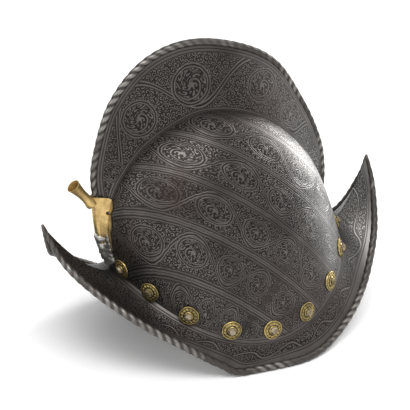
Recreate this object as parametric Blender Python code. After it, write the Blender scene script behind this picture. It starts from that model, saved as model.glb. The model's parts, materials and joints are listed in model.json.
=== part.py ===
"""A comb morion: a one-piece steel helmet with a tall comb and a boat-shaped brim.

The steel is a single forged plate, so skull, comb, brim and both roped edges are one solid.
Brass rosettes, held by dome-headed lining rivets, stand round the base of the skull, and a
brass plume holder with a flared socket straddles the back of the comb.

Metres, +Z up, +X towards the front. The origin is on the ground under the middle of the brim.
"""
import math

import bmesh
import bpy
import numpy as np
from mathutils import Matrix, Vector
from mathutils.bvhtree import BVHTree

# Brim
BRIM_LENGTH = 0.347
BRIM_WIDTH = 0.219
PEAK_RISE = 0.142
BRIM_DISH = 0.024
BRIM_FLARE = 0.42
BRIM_ROLL_RADIUS = 0.0036

# Skull
SKULL_LENGTH = 0.2350
SKULL_WIDTH = 0.1985
SKULL_FORWARD = 0.0158
WAIST_HEIGHT = 0.0265
WAIST_SAG = 0.056
SKULL_RISE = 0.2045
DOME_FULLNESS = 1.9
WALL = 0.0012

# Comb
COMB_HEIGHT = 0.0700
COMB_ROOT_HALF = 0.0125
COMB_NECK_HALF = 0.0027
COMB_ROLL_RADIUS = 0.0034
COMB_HOLLOW_GAP = 0.0020

# Lining rivets and rosettes
RIVETS_PER_SIDE = 9
RIVET_RISE = 0.0105
RIVET_HEAD_RADIUS = 0.0040
RIVET_HEAD_HEIGHT = 0.0024
RIVET_SHANK_RADIUS = 0.0014
RIVET_BURR_RADIUS = 0.0030
RIVET_BURR_HEIGHT = 0.0012
ROSETTE_RADIUS = 0.0097
ROSETTE_THICKNESS = 0.0010
ROSETTE_DOME = 0.0022
CLEARANCE = 0.0003
HOLE_REACH = 0.006

# Plume holder
SADDLE_FROM = 0.060
SADDLE_TO = 0.172
SADDLE_SIDE = 0.0215
SADDLE_LOBES = 3
SADDLE_NOTCH = 0.0065
SADDLE_WALL = 0.0012
SADDLE_GAP = 0.0004
SOLDER_FROM = 0.012
SOLDER_TO = 0.056
SOLDER_SIDE = 0.0110
SOLDER_WALL = 0.0022
SOCKET_LENGTH = 0.0275
SOCKET_NECK_RADIUS = 0.0046
SOCKET_MOUTH_RADIUS = 0.0068
SOCKET_WALL = 0.0009
SOCKET_DROP = 0.0070
SOCKET_STAND = 0.0011
SOCKET_LEAN = math.radians(40.0)

# Mesh fineness
COLUMNS = 36
DOME_ROWS = 8
ROLL_SIDES = 8
ROSETTE_SIDES = 12
RIVET_SIDES = 8
MERGE_DISTANCE = 0.00018
SLIVER = 0.00008

# Thirteen stations from the rear tip to the front tip. Each length is a share:
#   edge_x of half BRIM_LENGTH, edge_y of half BRIM_WIDTH, edge_z of PEAK_RISE,
#   roll of BRIM_ROLL_RADIUS, dish of BRIM_DISH, turn of a half turn round the waist,
#   crease_x of half SKULL_LENGTH from the skull's middle, crease_z of SKULL_RISE,
#   comb of COMB_HEIGHT, lean of a right angle from upright, root of COMB_ROOT_HALF.
STATION_COLUMNS = (
    "edge_x", "edge_y", "edge_z", "roll", "dish", "turn",
    "crease_x", "crease_z", "comb", "lean", "root",
)
STATIONS = (
    (-1.000, 0.000, 0.985, 0.45, 1.00, 1.000, -1.015, 0.037, 0.050, -1.00, 0.30),
    (-0.925, 0.150, 0.745, 0.85, 0.90, 0.960, -1.075, 0.205, 0.130, -0.98, 0.55),
    (-0.815, 0.440, 0.590, 1.00, 0.70, 0.880, -1.045, 0.375, 0.230, -0.96, 0.75),
    (-0.638, 0.685, 0.410, 1.00, 0.45, 0.785, -0.945, 0.495, 0.490, -0.52, 0.88),
    (-0.430, 0.850, 0.235, 1.00, 0.15, 0.685, -0.775, 0.603, 0.780, -0.35, 0.96),
    (-0.245, 0.928, 0.082, 1.00, 0.05, 0.590, -0.545, 0.681, 0.980, -0.22, 1.00),
    (-0.112, 0.965, 0.000, 1.00, 0.05, 0.505, -0.272, 0.725, 1.000, -0.13, 1.00),
    (0.240, 1.000, 0.000, 1.00, 0.05, 0.405, 0.052, 0.698, 0.955, -0.04, 1.00),
    (0.490, 0.870, 0.052, 1.00, 0.10, 0.308, 0.358, 0.613, 0.850, 0.09, 0.98),
    (0.735, 0.645, 0.225, 1.00, 0.30, 0.203, 0.612, 0.480, 0.590, 0.16, 0.90),
    (0.935, 0.330, 0.500, 1.00, 0.60, 0.105, 0.783, 0.332, 0.390, 0.26, 0.74),
    (1.000, 0.120, 0.800, 0.80, 0.80, 0.035, 0.890, 0.160, 0.080, 0.60, 0.50),
    (0.998, 0.000, 1.000, 0.45, 0.90, 0.000, 0.996, 0.037, 0.030, 1.00, 0.30),
)


def clear_scene():
    """Empty the file of objects."""
    for item in list(bpy.data.objects):
        bpy.data.objects.remove(item, do_unlink=True)


def metal(name, colour, roughness):
    """A plain metal material."""
    material = bpy.data.materials.new(name)
    material.use_nodes = True
    shader = material.node_tree.nodes["Principled BSDF"]
    shader.inputs["Base Color"].default_value = (*colour, 1.0)
    shader.inputs["Metallic"].default_value = 1.0
    shader.inputs["Roughness"].default_value = roughness
    return material


def place(name, mesh, material):
    """Put a mesh in the scene as a named, smooth-shaded object."""
    mesh.materials.append(material)
    mesh.shade_smooth()
    mesh.set_sharp_from_angle(angle=math.radians(35))
    item = bpy.data.objects.new(name, mesh)
    bpy.context.scene.collection.objects.link(item)
    return item


def station(share):
    """The station values at a share of the way from the rear tip to the front tip."""
    last = len(STATIONS) - 1
    place_on = min(max(share, 0.0), 1.0) * last
    first = min(int(place_on), last - 1)
    u = place_on - first
    around = [STATIONS[min(max(first + step, 0), last)] for step in (-1, 0, 1, 2)]
    values = {}
    for name, p0, p1, p2, p3 in zip(STATION_COLUMNS, *around):
        values[name] = 0.5 * (
            2 * p1 + (p2 - p0) * u
            + (2 * p0 - 5 * p1 + 4 * p2 - p3) * u**2
            + (3 * p1 - p0 - 3 * p2 + p3) * u**3
        )
    return values


def waist_point(share, inset=0.0):
    """The bend between skull and brim: an oval that sags at the sides."""
    turn = math.pi * station(share)["turn"]
    x = SKULL_FORWARD + (SKULL_LENGTH / 2 - inset) * math.cos(turn)
    y = -(SKULL_WIDTH / 2 - inset) * math.sin(turn)
    return np.array([x, y, WAIST_HEIGHT + WAIST_SAG * math.cos(turn) ** 2])


def comb_way(share):
    """The unit direction, in the middle plane, from the crease to the comb's rim."""
    lean = station(share)["lean"] * math.pi / 2
    return np.array([math.sin(lean), 0.0, math.cos(lean)])


def crease_point(share, inset=0.0):
    """The corner where the comb's wall meets the dome of the skull."""
    values = station(share)
    inset *= 0.75
    half = max(values["root"] * COMB_ROOT_HALF - inset, 0.001)
    x = SKULL_FORWARD + values["crease_x"] * SKULL_LENGTH / 2
    z = WAIST_HEIGHT + WAIST_SAG + (values["crease_z"]) * SKULL_RISE
    return np.array([x, -half, z]) - inset * comb_way(share)


def edge_point(share):
    """The middle of the brim's rolled edge."""
    values = station(share)
    return np.array([
        values["edge_x"] * BRIM_LENGTH / 2,
        -values["edge_y"] * BRIM_WIDTH / 2,
        BRIM_ROLL_RADIUS + max(values["edge_z"], 0.0) * PEAK_RISE,
    ])


def comb_rows(share):
    """The comb's outside, from the top of its roll down to just above the crease."""
    crease = crease_point(share)
    way = comb_way(share)
    height = max(station(share)["comb"] * COMB_HEIGHT, 0.0015)
    radius = min(COMB_ROLL_RADIUS, 0.26 * height)
    neck = min(COMB_NECK_HALF, 0.8 * radius)
    foot = np.array([crease[0], 0.0, crease[2]])
    rows = []
    for angle in (0.0, 50.0, 100.0):
        turn = math.radians(angle)
        rows.append((height - radius * (1 - math.cos(turn)), radius * math.sin(turn)))
    rows.append((height - 2 * radius, neck))
    root = -crease[1]
    rows.append((0.42 * height, neck + 0.40 * (root - neck)))
    rows.append((0.10 * height, neck + 0.84 * (root - neck)))
    return [foot + way * up + np.array([0.0, -out, 0.0]) for up, out in rows]


def comb_hollow_rows(share):
    """The comb's inside, from just above the inner crease up to its closed top."""
    crease = crease_point(share, WALL)
    way = comb_way(share)
    height = max(station(share)["comb"] * COMB_HEIGHT, 0.0015)
    radius = min(COMB_ROLL_RADIUS, 0.26 * height)
    depth = max(height - 2 * radius - COMB_HOLLOW_GAP, 0.001)
    root = -crease[1]
    neck = min(max(COMB_NECK_HALF - WALL, 0.0008), 0.8 * root)
    foot = np.array([crease[0], 0.0, crease[2]])
    rows = ((0.45 * depth, neck + 0.40 * (root - neck)), (0.94 * depth, neck), (depth, 0.0))
    return [foot + way * up + np.array([0.0, -out, 0.0]) for up, out in rows]


def dome_rows(share, inset=0.0):
    """The skull from the crease to the waist, each section a quarter of a superellipse."""
    crease = crease_point(share, inset)
    waist = waist_point(share, inset)
    power = 2 / DOME_FULLNESS
    rows = []
    for row in range(DOME_ROWS + 1):
        turn = 0.5 * math.pi * row / DOME_ROWS
        out = math.sin(turn) ** power
        down = 1 - max(math.cos(turn), 0.0) ** power
        rows.append(crease + (waist - crease) * np.array([down, out, down]))
    return rows


def brim_frame(share):
    """The edge's middle, the direction outwards along the brim there, and its upward normal."""
    edge = edge_point(share)
    control = brim_control(share)
    out = edge - control
    out /= np.linalg.norm(out)
    step = 0.01
    ahead = edge_point(share + step)
    behind = edge_point(share - step)
    if share < step:
        behind = ahead * np.array([1, -1, 1])
    if share > 1 - step:
        ahead = behind * np.array([1, -1, 1])
    along = ahead - behind
    if share < step or share > 1 - step:
        along = np.array([0.0, math.copysign(1.0, along[1]), 0.0])
    along /= np.linalg.norm(along)
    normal = np.cross(out, along)
    normal /= np.linalg.norm(normal)
    if normal[2] < 0:
        normal = -normal
    return edge, out, normal


def brim_control(share):
    """The bend of the brim between waist and edge, which dips into a gutter at both peaks."""
    waist = waist_point(share)
    edge = edge_point(share)
    control = waist + (edge - waist) * np.array([BRIM_FLARE, BRIM_FLARE, 0.40])
    control[2] -= station(share)["dish"] * BRIM_DISH
    return control


def brim_rows(share, under=False):
    """The brim's upper face from waist to roll, or its lower face."""
    edge, out, normal = brim_frame(share)
    radius = BRIM_ROLL_RADIUS * station(share)["roll"]
    half = min(WALL / 2, 0.4 * radius)
    start = waist_point(share, WALL if under else 0.0)
    middle = brim_control(share)
    if under:
        start = start - np.array([0.0, 0.0, 0.4 * WALL])
        middle = middle - WALL * normal
    reach = math.sqrt(radius**2 - half**2)
    finish = edge - out * reach + normal * (-half if under else half)
    rows = []
    for step in (0.16, 0.38, 0.68, 1.0):
        rows.append(start * (1 - step) ** 2 + middle * 2 * step * (1 - step) + finish * step**2)
    return rows


def roll_rows(share):
    """The brim's rolled edge, from its upper face round the outside to its lower face."""
    edge, out, normal = brim_frame(share)
    radius = BRIM_ROLL_RADIUS * station(share)["roll"]
    first = math.asin(min(WALL / 2, 0.4 * radius) / radius)
    rows = []
    for side in range(1, ROLL_SIDES):
        turn = first + (2 * math.pi - 2 * first) * side / ROLL_SIDES
        rows.append(edge + radius * (-math.cos(turn) * out + math.sin(turn) * normal))
    return rows


def section(share):
    """One closed loop of the plate's near half, from the comb's top round and back inside."""
    rows = comb_rows(share) + dome_rows(share) + brim_rows(share) + roll_rows(share)
    rows += brim_rows(share, under=True)[::-1]
    rows += dome_rows(share, WALL)[::-1] + comb_hollow_rows(share)
    return rows


def shell_mesh():
    """The plate: closed sections joined along its length, with the far half mirrored."""
    mesh = bpy.data.meshes.new("shell")
    build = bmesh.new()
    half = []
    for column in range(COLUMNS + 1):
        share = column / COLUMNS
        points = [list(point) for point in section(share)]
        for point in points:
            if column in (0, COLUMNS):
                point[1] = 0.0
            point[1] = min(point[1], 0.0)
        points[0][1] = points[-1][1] = 0.0
        half.append([build.verts.new(point) for point in points])
    for column, (near, ahead) in enumerate(zip(half, half[1:])):
        for row in range(len(near) - 1):
            corners = [near[row], near[row + 1], ahead[row + 1], ahead[row]]
            if (row == 0) == (column > COLUMNS // 2):
                corners = corners[1:] + corners[:1]
            build.faces.new(corners[:3])
            build.faces.new((corners[0], corners[2], corners[3]))
    bmesh.ops.mirror(
        build, geom=build.verts[:] + build.edges[:] + build.faces[:],
        matrix=Matrix.Identity(4), merge_dist=0.0, axis="Y",
    )
    bmesh.ops.remove_doubles(build, verts=build.verts[:], dist=0.00002)
    bmesh.ops.recalc_face_normals(build, faces=build.faces[:])
    build.to_mesh(mesh)
    build.free()
    return mesh


def lathe(name, rows, sides, centre, axis, material):
    """A closed turned solid; each row is (radius, height) from the bottom up and round."""
    axis = Vector(axis).normalized()
    turn = Vector((0.0, 0.0, 1.0)).rotation_difference(axis).to_matrix()
    build = bmesh.new()
    rings = []
    for radius, height in rows:
        count = sides if radius > 0 else 1
        ring = []
        for side in range(count):
            angle = 2 * math.pi * side / sides
            local = Vector((radius * math.cos(angle), radius * math.sin(angle), height))
            ring.append(build.verts.new(Vector(centre) + turn @ local))
        rings.append(ring)
    pairs = list(zip(rings, rings[1:]))
    if rows[0][0] > 0:
        pairs.append((rings[-1], rings[0]))
    for lower, upper in pairs:
        for side in range(sides):
            ahead = (side + 1) % sides
            corners = [lower[side % len(lower)], lower[ahead % len(lower)],
                       upper[ahead % len(upper)], upper[side % len(upper)]]
            build.faces.new(list(dict.fromkeys(corners)))
    bmesh.ops.recalc_face_normals(build, faces=build.faces[:])
    mesh = bpy.data.meshes.new(name)
    build.to_mesh(mesh)
    build.free()
    return place(name, mesh, material)


def seat(tree, start, toward, radius):
    """The flat seat that a disc of this radius finds on the plate: its centre and normal."""
    hit, normal, _, _ = tree.ray_cast(Vector(start), Vector(toward).normalized())
    side = normal.cross(Vector((0.0, 0.0, 1.0))).normalized()
    rise = side.cross(normal)
    rows = []
    for reach in (0.2, 0.4, 0.6, 0.8, 0.95, 1.03):
        for step in range(24):
            angle = 2 * math.pi * step / 24
            along = (side * math.cos(angle) + rise * math.sin(angle)) * reach * radius
            found, _, _, _ = tree.ray_cast(hit + along + normal * 0.02, -normal)
            if found is not None and (found - hit).length < 2 * radius:
                rows.append(found - hit)
    table = np.array([[row.dot(side), row.dot(rise), 1.0] for row in rows])
    heights = np.array([row.dot(normal) for row in rows])
    slope = np.linalg.lstsq(table, heights, rcond=None)[0]
    normal = (normal - side * float(slope[0]) - rise * float(slope[1])).normalized()
    lift = max(max(row.dot(normal) for row in rows), 0.0)
    return hit, normal, lift


def share_at_turn(angle):
    """The share of the way to the front at which the waist has turned this far."""
    low, high = 0.0, 1.0
    for _ in range(40):
        middle = 0.5 * (low + high)
        if station(middle)["turn"] * math.pi > angle:
            low = middle
        else:
            high = middle
    return 0.5 * (low + high)


def rivet_seats(tree):
    """The seats of the lining rivets down one side, from the front to the rear."""
    seats = []
    for count in range(RIVETS_PER_SIDE):
        angle = math.pi * (count + 0.5) / RIVETS_PER_SIDE
        aim = Vector(along_path(dome_rows(share_at_turn(angle))[::-1], RIVET_RISE))
        out = Vector((0.8 * math.cos(angle), -0.8 * math.sin(angle), 0.6))
        seats.append(seat(tree, aim + out * 0.02, -out, ROSETTE_RADIUS))
    return seats


def mirrored(point):
    """The point on the other side of the middle plane."""
    return Vector((point[0], -point[1], point[2]))


def pierce(item, seats, radius, reach):
    """Cut a round hole through the object at each seat."""
    build = bmesh.new()
    for hit, normal in seats:
        turn = Vector((0.0, 0.0, 1.0)).rotation_difference(normal).to_matrix().to_4x4()
        bmesh.ops.create_cone(
            build, cap_ends=True, segments=RIVET_SIDES, radius1=radius, radius2=radius,
            depth=2 * reach, matrix=Matrix.Translation(hit) @ turn,
        )
    mesh = bpy.data.meshes.new("cutter")
    build.to_mesh(mesh)
    build.free()
    cutter = bpy.data.objects.new("cutter", mesh)
    bpy.context.scene.collection.objects.link(cutter)
    cut = item.modifiers.new("holes", "BOOLEAN")
    cut.operation = "DIFFERENCE"
    cut.solver = "EXACT"
    cut.object = cutter
    depsgraph = bpy.context.evaluated_depsgraph_get()
    result = bpy.data.meshes.new_from_object(item.evaluated_get(depsgraph))
    item.modifiers.clear()
    tidy = bmesh.new()
    tidy.from_mesh(result)
    bmesh.ops.remove_doubles(tidy, verts=tidy.verts[:], dist=MERGE_DISTANCE)
    bmesh.ops.triangulate(tidy, faces=tidy.faces[:])
    bmesh.ops.dissolve_degenerate(tidy, edges=tidy.edges[:], dist=SLIVER)
    bmesh.ops.triangulate(tidy, faces=tidy.faces[:])
    tidy.to_mesh(result)
    tidy.free()
    item.data = result
    bpy.data.objects.remove(cutter, do_unlink=True)


def add_rivet(name, hit, normal, lift, lower, material):
    """A dome-headed rivet whose head stands on what lies this far above the plate."""
    inside = -(WALL + CLEARANCE + 0.0002)
    base = lower + lift
    rows = (
        (0.0, inside - RIVET_BURR_HEIGHT),
        (RIVET_BURR_RADIUS, inside - 0.3 * RIVET_BURR_HEIGHT),
        (RIVET_BURR_RADIUS, inside),
        (RIVET_SHANK_RADIUS, inside),
        (RIVET_SHANK_RADIUS, base),
        (RIVET_HEAD_RADIUS, base),
        (0.72 * RIVET_HEAD_RADIUS, base + 0.75 * RIVET_HEAD_HEIGHT),
        (0.0, base + RIVET_HEAD_HEIGHT),
    )
    return lathe(name, rows, RIVET_SIDES, hit, normal, material)


def add_rosette(name, hit, normal, lift, material):
    """A domed brass washer standing just off the plate."""
    base = lift + CLEARANCE
    hole = RIVET_SHANK_RADIUS + CLEARANCE
    rows = (
        (hole, base),
        (ROSETTE_RADIUS, base),
        (ROSETTE_RADIUS, base + ROSETTE_THICKNESS),
        (0.55 * ROSETTE_RADIUS, base + ROSETTE_THICKNESS + 0.7 * ROSETTE_DOME),
        (hole, base + ROSETTE_THICKNESS + ROSETTE_DOME),
    )
    return lathe(name, rows, ROSETTE_SIDES, hit, normal, material)


def skin_path(share):
    """The plate's outside at a share, from the comb's rim over the comb and down the skull.

    It is read off the plate's flat facets, so what lies on it keeps its distance, and it
    passes straight over the pinch under the comb's roll.
    """
    place_on = share * COLUMNS
    first = min(int(place_on), COLUMNS - 1)
    u = place_on - first
    pair = []
    for column in (first, first + 1):
        rows = comb_rows(column / COLUMNS) + dome_rows(column / COLUMNS)
        del rows[3]
        pair.append(np.array(rows))
    return pair[0] * (1 - u) + pair[1] * u


def along_path(path, distance):
    """The point this far along a path of points."""
    for start, finish in zip(path, path[1:]):
        length = np.linalg.norm(finish - start)
        if distance <= length:
            return start + (finish - start) * distance / length
        distance -= length
    return path[-1]


def saddle_mesh(name, start, finish, reach, wall, steps, across):
    """A closed strip folded over the rear of the comb, an even gap off the plate.

    reach gives the length of each flank at a share of the strip's own length.
    """
    def grid_point(row, column):
        path = skin_path(start + (finish - start) * row / steps)
        length = reach(row / steps)
        roll = [0.0]
        for corner in (0, 1):
            roll.append(roll[-1] + np.linalg.norm(path[corner + 1] - path[corner]))
        flank = abs(column)
        if flank <= 2:
            distance = roll[flank]
        else:
            distance = roll[2] + (length - roll[2]) * (flank - 2) / (across - 2)
        point = along_path(path, distance)
        return np.array([point[0], point[1] * (1 if column >= 0 else -1), point[2]])

    columns = range(-across, across + 1)
    grid = np.array([[grid_point(row, col) for col in columns] for row in range(steps + 1)])
    ahead = np.gradient(grid, axis=0)
    aside = np.gradient(grid, axis=1)
    normal = np.cross(ahead, aside)
    normal /= np.linalg.norm(normal, axis=2)[..., None]
    if normal[steps // 2, across][0] > 0:
        normal = -normal
    layers = [grid + normal * SADDLE_GAP, grid + normal * (SADDLE_GAP + wall)]
    build = bmesh.new()
    verts = [[[build.verts.new(p) for p in row] for row in layer] for layer in layers]
    last = 2 * across
    for row in range(steps):
        for col in range(last):
            for layer in verts:
                build.faces.new((layer[row][col], layer[row][col + 1],
                                 layer[row + 1][col + 1], layer[row + 1][col]))
    for row in range(steps):
        for col in (0, last):
            build.faces.new((verts[0][row][col], verts[0][row + 1][col],
                             verts[1][row + 1][col], verts[1][row][col]))
    for col in range(last):
        for row in (0, steps):
            build.faces.new((verts[0][row][col], verts[0][row][col + 1],
                             verts[1][row][col + 1], verts[1][row][col]))
    bmesh.ops.recalc_face_normals(build, faces=build.faces[:])
    mesh = bpy.data.meshes.new(name)
    build.to_mesh(mesh)
    build.free()
    return mesh


def saddle_reach(step):
    """The flank of the plume holder: rounded lobes with a notch between each two."""
    lobe = abs(math.sin(math.pi * SADDLE_LOBES * step)) ** 0.5
    return SADDLE_SIDE - SADDLE_NOTCH * (1 - lobe)


def solder_reach(step):
    """The flank of the solder, fuller at the top."""
    return SOLDER_SIDE * (0.55 + 0.45 * math.sin(0.5 * math.pi * min(1.0, step + 0.1)))


def socket_mesh(saddle):
    """The flared tube for the plume, its foot shaped to the saddle that it stands on."""
    axis = Vector((-math.sin(SOCKET_LEAN), 0.0, math.cos(SOCKET_LEAN)))
    side = Vector((0.0, 1.0, 0.0))
    rise = axis.cross(side)
    corners = [Vector(corner.co) for corner in saddle.data.vertices]
    tree = BVHTree.FromPolygons(corners, [tuple(f.vertices) for f in saddle.data.polygons])
    seat_height = max(corner.z for corner in corners) - SOCKET_DROP
    behind = Vector((-BRIM_LENGTH, 0.0, seat_height))
    ridge, _, _, _ = tree.ray_cast(behind, Vector((1.0, 0.0, 0.0)))
    mouth = ridge + axis * SOCKET_LENGTH
    rows = (
        (SOCKET_NECK_RADIUS, 0.45), (0.5 * (SOCKET_NECK_RADIUS + SOCKET_MOUTH_RADIUS), 0.80),
        (SOCKET_MOUTH_RADIUS, 1.0), (SOCKET_MOUTH_RADIUS - SOCKET_WALL, 1.0),
        (0.5 * (SOCKET_NECK_RADIUS + SOCKET_MOUTH_RADIUS) - SOCKET_WALL, 0.80),
        (SOCKET_NECK_RADIUS - SOCKET_WALL, 0.45),
    )
    build = bmesh.new()

    def ring(radius, height=None, sides=ROSETTE_SIDES):
        verts = []
        for step in range(sides):
            angle = 2 * math.pi * step / sides
            spread = (math.cos(angle) * side + math.sin(angle) * rise) * radius
            if height is None:
                top = mouth + spread
                found, _, _, _ = tree.ray_cast(top, -axis)
                if found is None:
                    found = ridge + spread
                verts.append(build.verts.new(found + axis * SOCKET_STAND))
            else:
                verts.append(build.verts.new(ridge + axis * SOCKET_LENGTH * height + spread))
        return verts

    found, _, _, _ = tree.ray_cast(mouth, -axis)
    foot = build.verts.new(found + axis * SOCKET_STAND)
    rings = [ring(share * SOCKET_NECK_RADIUS) for share in (0.4, 0.7, 0.87, 1.0)]
    inner_foot = rings[0]
    rings += [ring(radius, height) for radius, height in rows]
    stop = build.verts.new(ridge + axis * SOCKET_LENGTH * 0.40)
    sides = len(inner_foot)
    for step in range(sides):
        ahead = (step + 1) % sides
        build.faces.new((foot, inner_foot[step], inner_foot[ahead]))
        build.faces.new((stop, rings[-1][step], rings[-1][ahead]))
        for lower, upper in zip(rings, rings[1:]):
            build.faces.new((lower[step], lower[ahead], upper[ahead], upper[step]))
    bmesh.ops.recalc_face_normals(build, faces=build.faces[:])
    mesh = bpy.data.meshes.new("plume_socket")
    build.to_mesh(mesh)
    build.free()
    return mesh


def main():
    """Model every piece."""
    clear_scene()
    steel = metal("blackened_steel", (0.20, 0.18, 0.17), 0.38)
    brass = metal("brass", (0.62, 0.47, 0.24), 0.35)
    solder = metal("solder", (0.62, 0.61, 0.58), 0.45)
    shell = place("helmet_shell", shell_mesh(), steel)
    tree = BVHTree.FromPolygons(
        [corner.co.copy() for corner in shell.data.vertices],
        [tuple(face.vertices) for face in shell.data.polygons],
    )
    seats = rivet_seats(tree)
    seats += [(mirrored(hit), mirrored(normal), lift) for hit, normal, lift in seats[::-1]]
    rosette_top = CLEARANCE + ROSETTE_THICKNESS + ROSETTE_DOME + CLEARANCE
    for count, (hit, normal, lift) in enumerate(seats, 1):
        add_rosette(f"rosette_{count:02d}", hit, normal, lift, brass)
        add_rivet(f"lining_rivet_{count:02d}", hit, normal, lift, rosette_top, steel)

    saddle = place("plume_saddle", saddle_mesh(
        "plume_saddle", SADDLE_FROM, SADDLE_TO, saddle_reach, SADDLE_WALL, 12, 6), brass)
    place("solder_patch", saddle_mesh(
        "solder_patch", SOLDER_FROM, SOLDER_TO, solder_reach, SOLDER_WALL, 4, 4), solder)
    place("plume_socket", socket_mesh(saddle), brass)

    pierce(shell, [(hit, normal) for hit, normal, _ in seats],
           RIVET_SHANK_RADIUS + CLEARANCE, HOLE_REACH)


main()
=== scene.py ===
"""The looks of a comb morion: an etched and blackened steel helmet with brass fittings.

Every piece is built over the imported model, in metres, and stands where its solid stands.
The steel carries bands of scroll foliage and roundels, both edges are roped, brass rosettes
ring the base of the skull, and a soldered brass plume holder straddles the back of the comb.
"""

from __future__ import annotations

import json
import logging
import math
from dataclasses import dataclass
from enum import Enum
from typing import Callable, Sequence

import bpy
import numpy as np
from mathutils import Matrix, Vector

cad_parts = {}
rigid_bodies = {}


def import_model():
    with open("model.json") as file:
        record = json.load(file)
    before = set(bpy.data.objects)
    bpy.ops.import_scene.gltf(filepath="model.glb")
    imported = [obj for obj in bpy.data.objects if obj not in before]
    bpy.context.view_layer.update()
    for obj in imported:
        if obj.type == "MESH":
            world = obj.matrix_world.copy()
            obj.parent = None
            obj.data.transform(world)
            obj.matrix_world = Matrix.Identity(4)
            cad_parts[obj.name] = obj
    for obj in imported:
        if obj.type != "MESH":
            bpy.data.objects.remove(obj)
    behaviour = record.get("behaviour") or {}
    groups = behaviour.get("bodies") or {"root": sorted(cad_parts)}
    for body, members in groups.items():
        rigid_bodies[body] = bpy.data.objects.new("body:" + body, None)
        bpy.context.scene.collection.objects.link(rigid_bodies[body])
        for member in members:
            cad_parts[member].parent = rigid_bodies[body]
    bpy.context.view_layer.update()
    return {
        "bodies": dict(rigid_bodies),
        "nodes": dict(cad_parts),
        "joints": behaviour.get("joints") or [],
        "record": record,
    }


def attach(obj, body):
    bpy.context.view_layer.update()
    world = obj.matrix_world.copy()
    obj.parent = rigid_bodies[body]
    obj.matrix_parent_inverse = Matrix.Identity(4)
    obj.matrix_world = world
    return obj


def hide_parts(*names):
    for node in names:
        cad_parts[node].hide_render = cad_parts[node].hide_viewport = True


LOG = logging.getLogger("morion")
BAND_TALL = 48.2
BAND_SHIFT = 25.1
ROUNDEL_PITCH = 37.0


class Region(Enum):
    """The parts of the plate that are etched each in its own way."""

    COMB = 0
    SKULL = 1
    BRIM = 2


# Thirteen stations from the rear tip to the front tip, as in the part's own source.
STATION_COLUMNS = (
    "edge_x", "edge_y", "edge_z", "roll", "dish", "turn",
    "crease_x", "crease_z", "comb", "lean", "root",
)
STATIONS = (
    (-1.000, 0.000, 0.985, 0.45, 1.00, 1.000, -1.015, 0.037, 0.050, -1.00, 0.30),
    (-0.925, 0.150, 0.745, 0.85, 0.90, 0.960, -1.075, 0.205, 0.130, -0.98, 0.55),
    (-0.815, 0.440, 0.590, 1.00, 0.70, 0.880, -1.045, 0.375, 0.230, -0.96, 0.75),
    (-0.638, 0.685, 0.410, 1.00, 0.45, 0.785, -0.945, 0.495, 0.490, -0.52, 0.88),
    (-0.430, 0.850, 0.235, 1.00, 0.15, 0.685, -0.775, 0.603, 0.780, -0.35, 0.96),
    (-0.245, 0.928, 0.082, 1.00, 0.05, 0.590, -0.545, 0.681, 0.980, -0.22, 1.00),
    (-0.112, 0.965, 0.000, 1.00, 0.05, 0.505, -0.272, 0.725, 1.000, -0.13, 1.00),
    (0.240, 1.000, 0.000, 1.00, 0.05, 0.405, 0.052, 0.698, 0.955, -0.04, 1.00),
    (0.490, 0.870, 0.052, 1.00, 0.10, 0.308, 0.358, 0.613, 0.850, 0.09, 0.98),
    (0.735, 0.645, 0.225, 1.00, 0.30, 0.203, 0.612, 0.480, 0.590, 0.16, 0.90),
    (0.935, 0.330, 0.500, 1.00, 0.60, 0.105, 0.783, 0.332, 0.390, 0.26, 0.74),
    (1.000, 0.120, 0.800, 0.80, 0.80, 0.035, 0.890, 0.160, 0.080, 0.60, 0.50),
    (0.998, 0.000, 1.000, 0.45, 0.90, 0.000, 0.996, 0.037, 0.030, 1.00, 0.30),
)


def clear_selection() -> None:
    """Leave edit mode and deselect everything."""
    if bpy.context.object is not None and bpy.context.object.mode != "OBJECT":
        bpy.ops.object.mode_set(mode="OBJECT")
    bpy.ops.object.select_all(action="DESELECT")


def select_only(item: bpy.types.Object) -> None:
    """Make one object the only selected and the active one."""
    clear_selection()
    item.select_set(True)
    bpy.context.view_layer.objects.active = item


def apply_modifiers(item: bpy.types.Object) -> None:
    """Apply every modifier of an object in its order."""
    select_only(item)
    for modifier in list(item.modifiers):
        bpy.ops.object.modifier_apply(modifier=modifier.name)


def set_vertices(item: bpy.types.Object, points: np.ndarray) -> None:
    """Put an object's vertices at these points."""
    item.data.vertices.foreach_set("co", points.astype(np.float32).ravel())
    item.data.update()


def get_vertices(item: bpy.types.Object) -> np.ndarray:
    """The object's vertex positions as rows of x, y, z."""
    points = np.empty(len(item.data.vertices) * 3, dtype=np.float32)
    item.data.vertices.foreach_get("co", points)
    return points.reshape(-1, 3).astype(float)


def point_outwards(item: bpy.types.Object) -> None:
    """Merge doubles and turn the faces of a closed piece outwards."""
    select_only(item)
    bpy.ops.object.mode_set(mode="EDIT")
    bpy.ops.mesh.select_all(action="SELECT")
    bpy.ops.mesh.remove_doubles(threshold=0.000004)
    bpy.ops.mesh.normals_make_consistent(inside=False)
    bpy.ops.object.mode_set(mode="OBJECT")


def smooth(item: bpy.types.Object, degrees: float = 35.0) -> None:
    """Shade a piece smooth, with corners sharper than this kept crisp."""
    select_only(item)
    bpy.ops.object.shade_smooth_by_angle(angle=math.radians(degrees))


def add_grid(name: str, columns: int, rows: int) -> bpy.types.Object:
    """A flat grid from a primitive, with its object at the origin.

    Args:
        name: The piece's name.
        columns: Faces along X.
        rows: Faces along Y.

    Returns:
        The grid, one metre square and centred on the origin.
    """
    clear_selection()
    bpy.ops.mesh.primitive_grid_add(x_subdivisions=columns, y_subdivisions=rows, size=1.0)
    item = bpy.context.object
    item.name = name
    item.data.name = name
    return item


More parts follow.
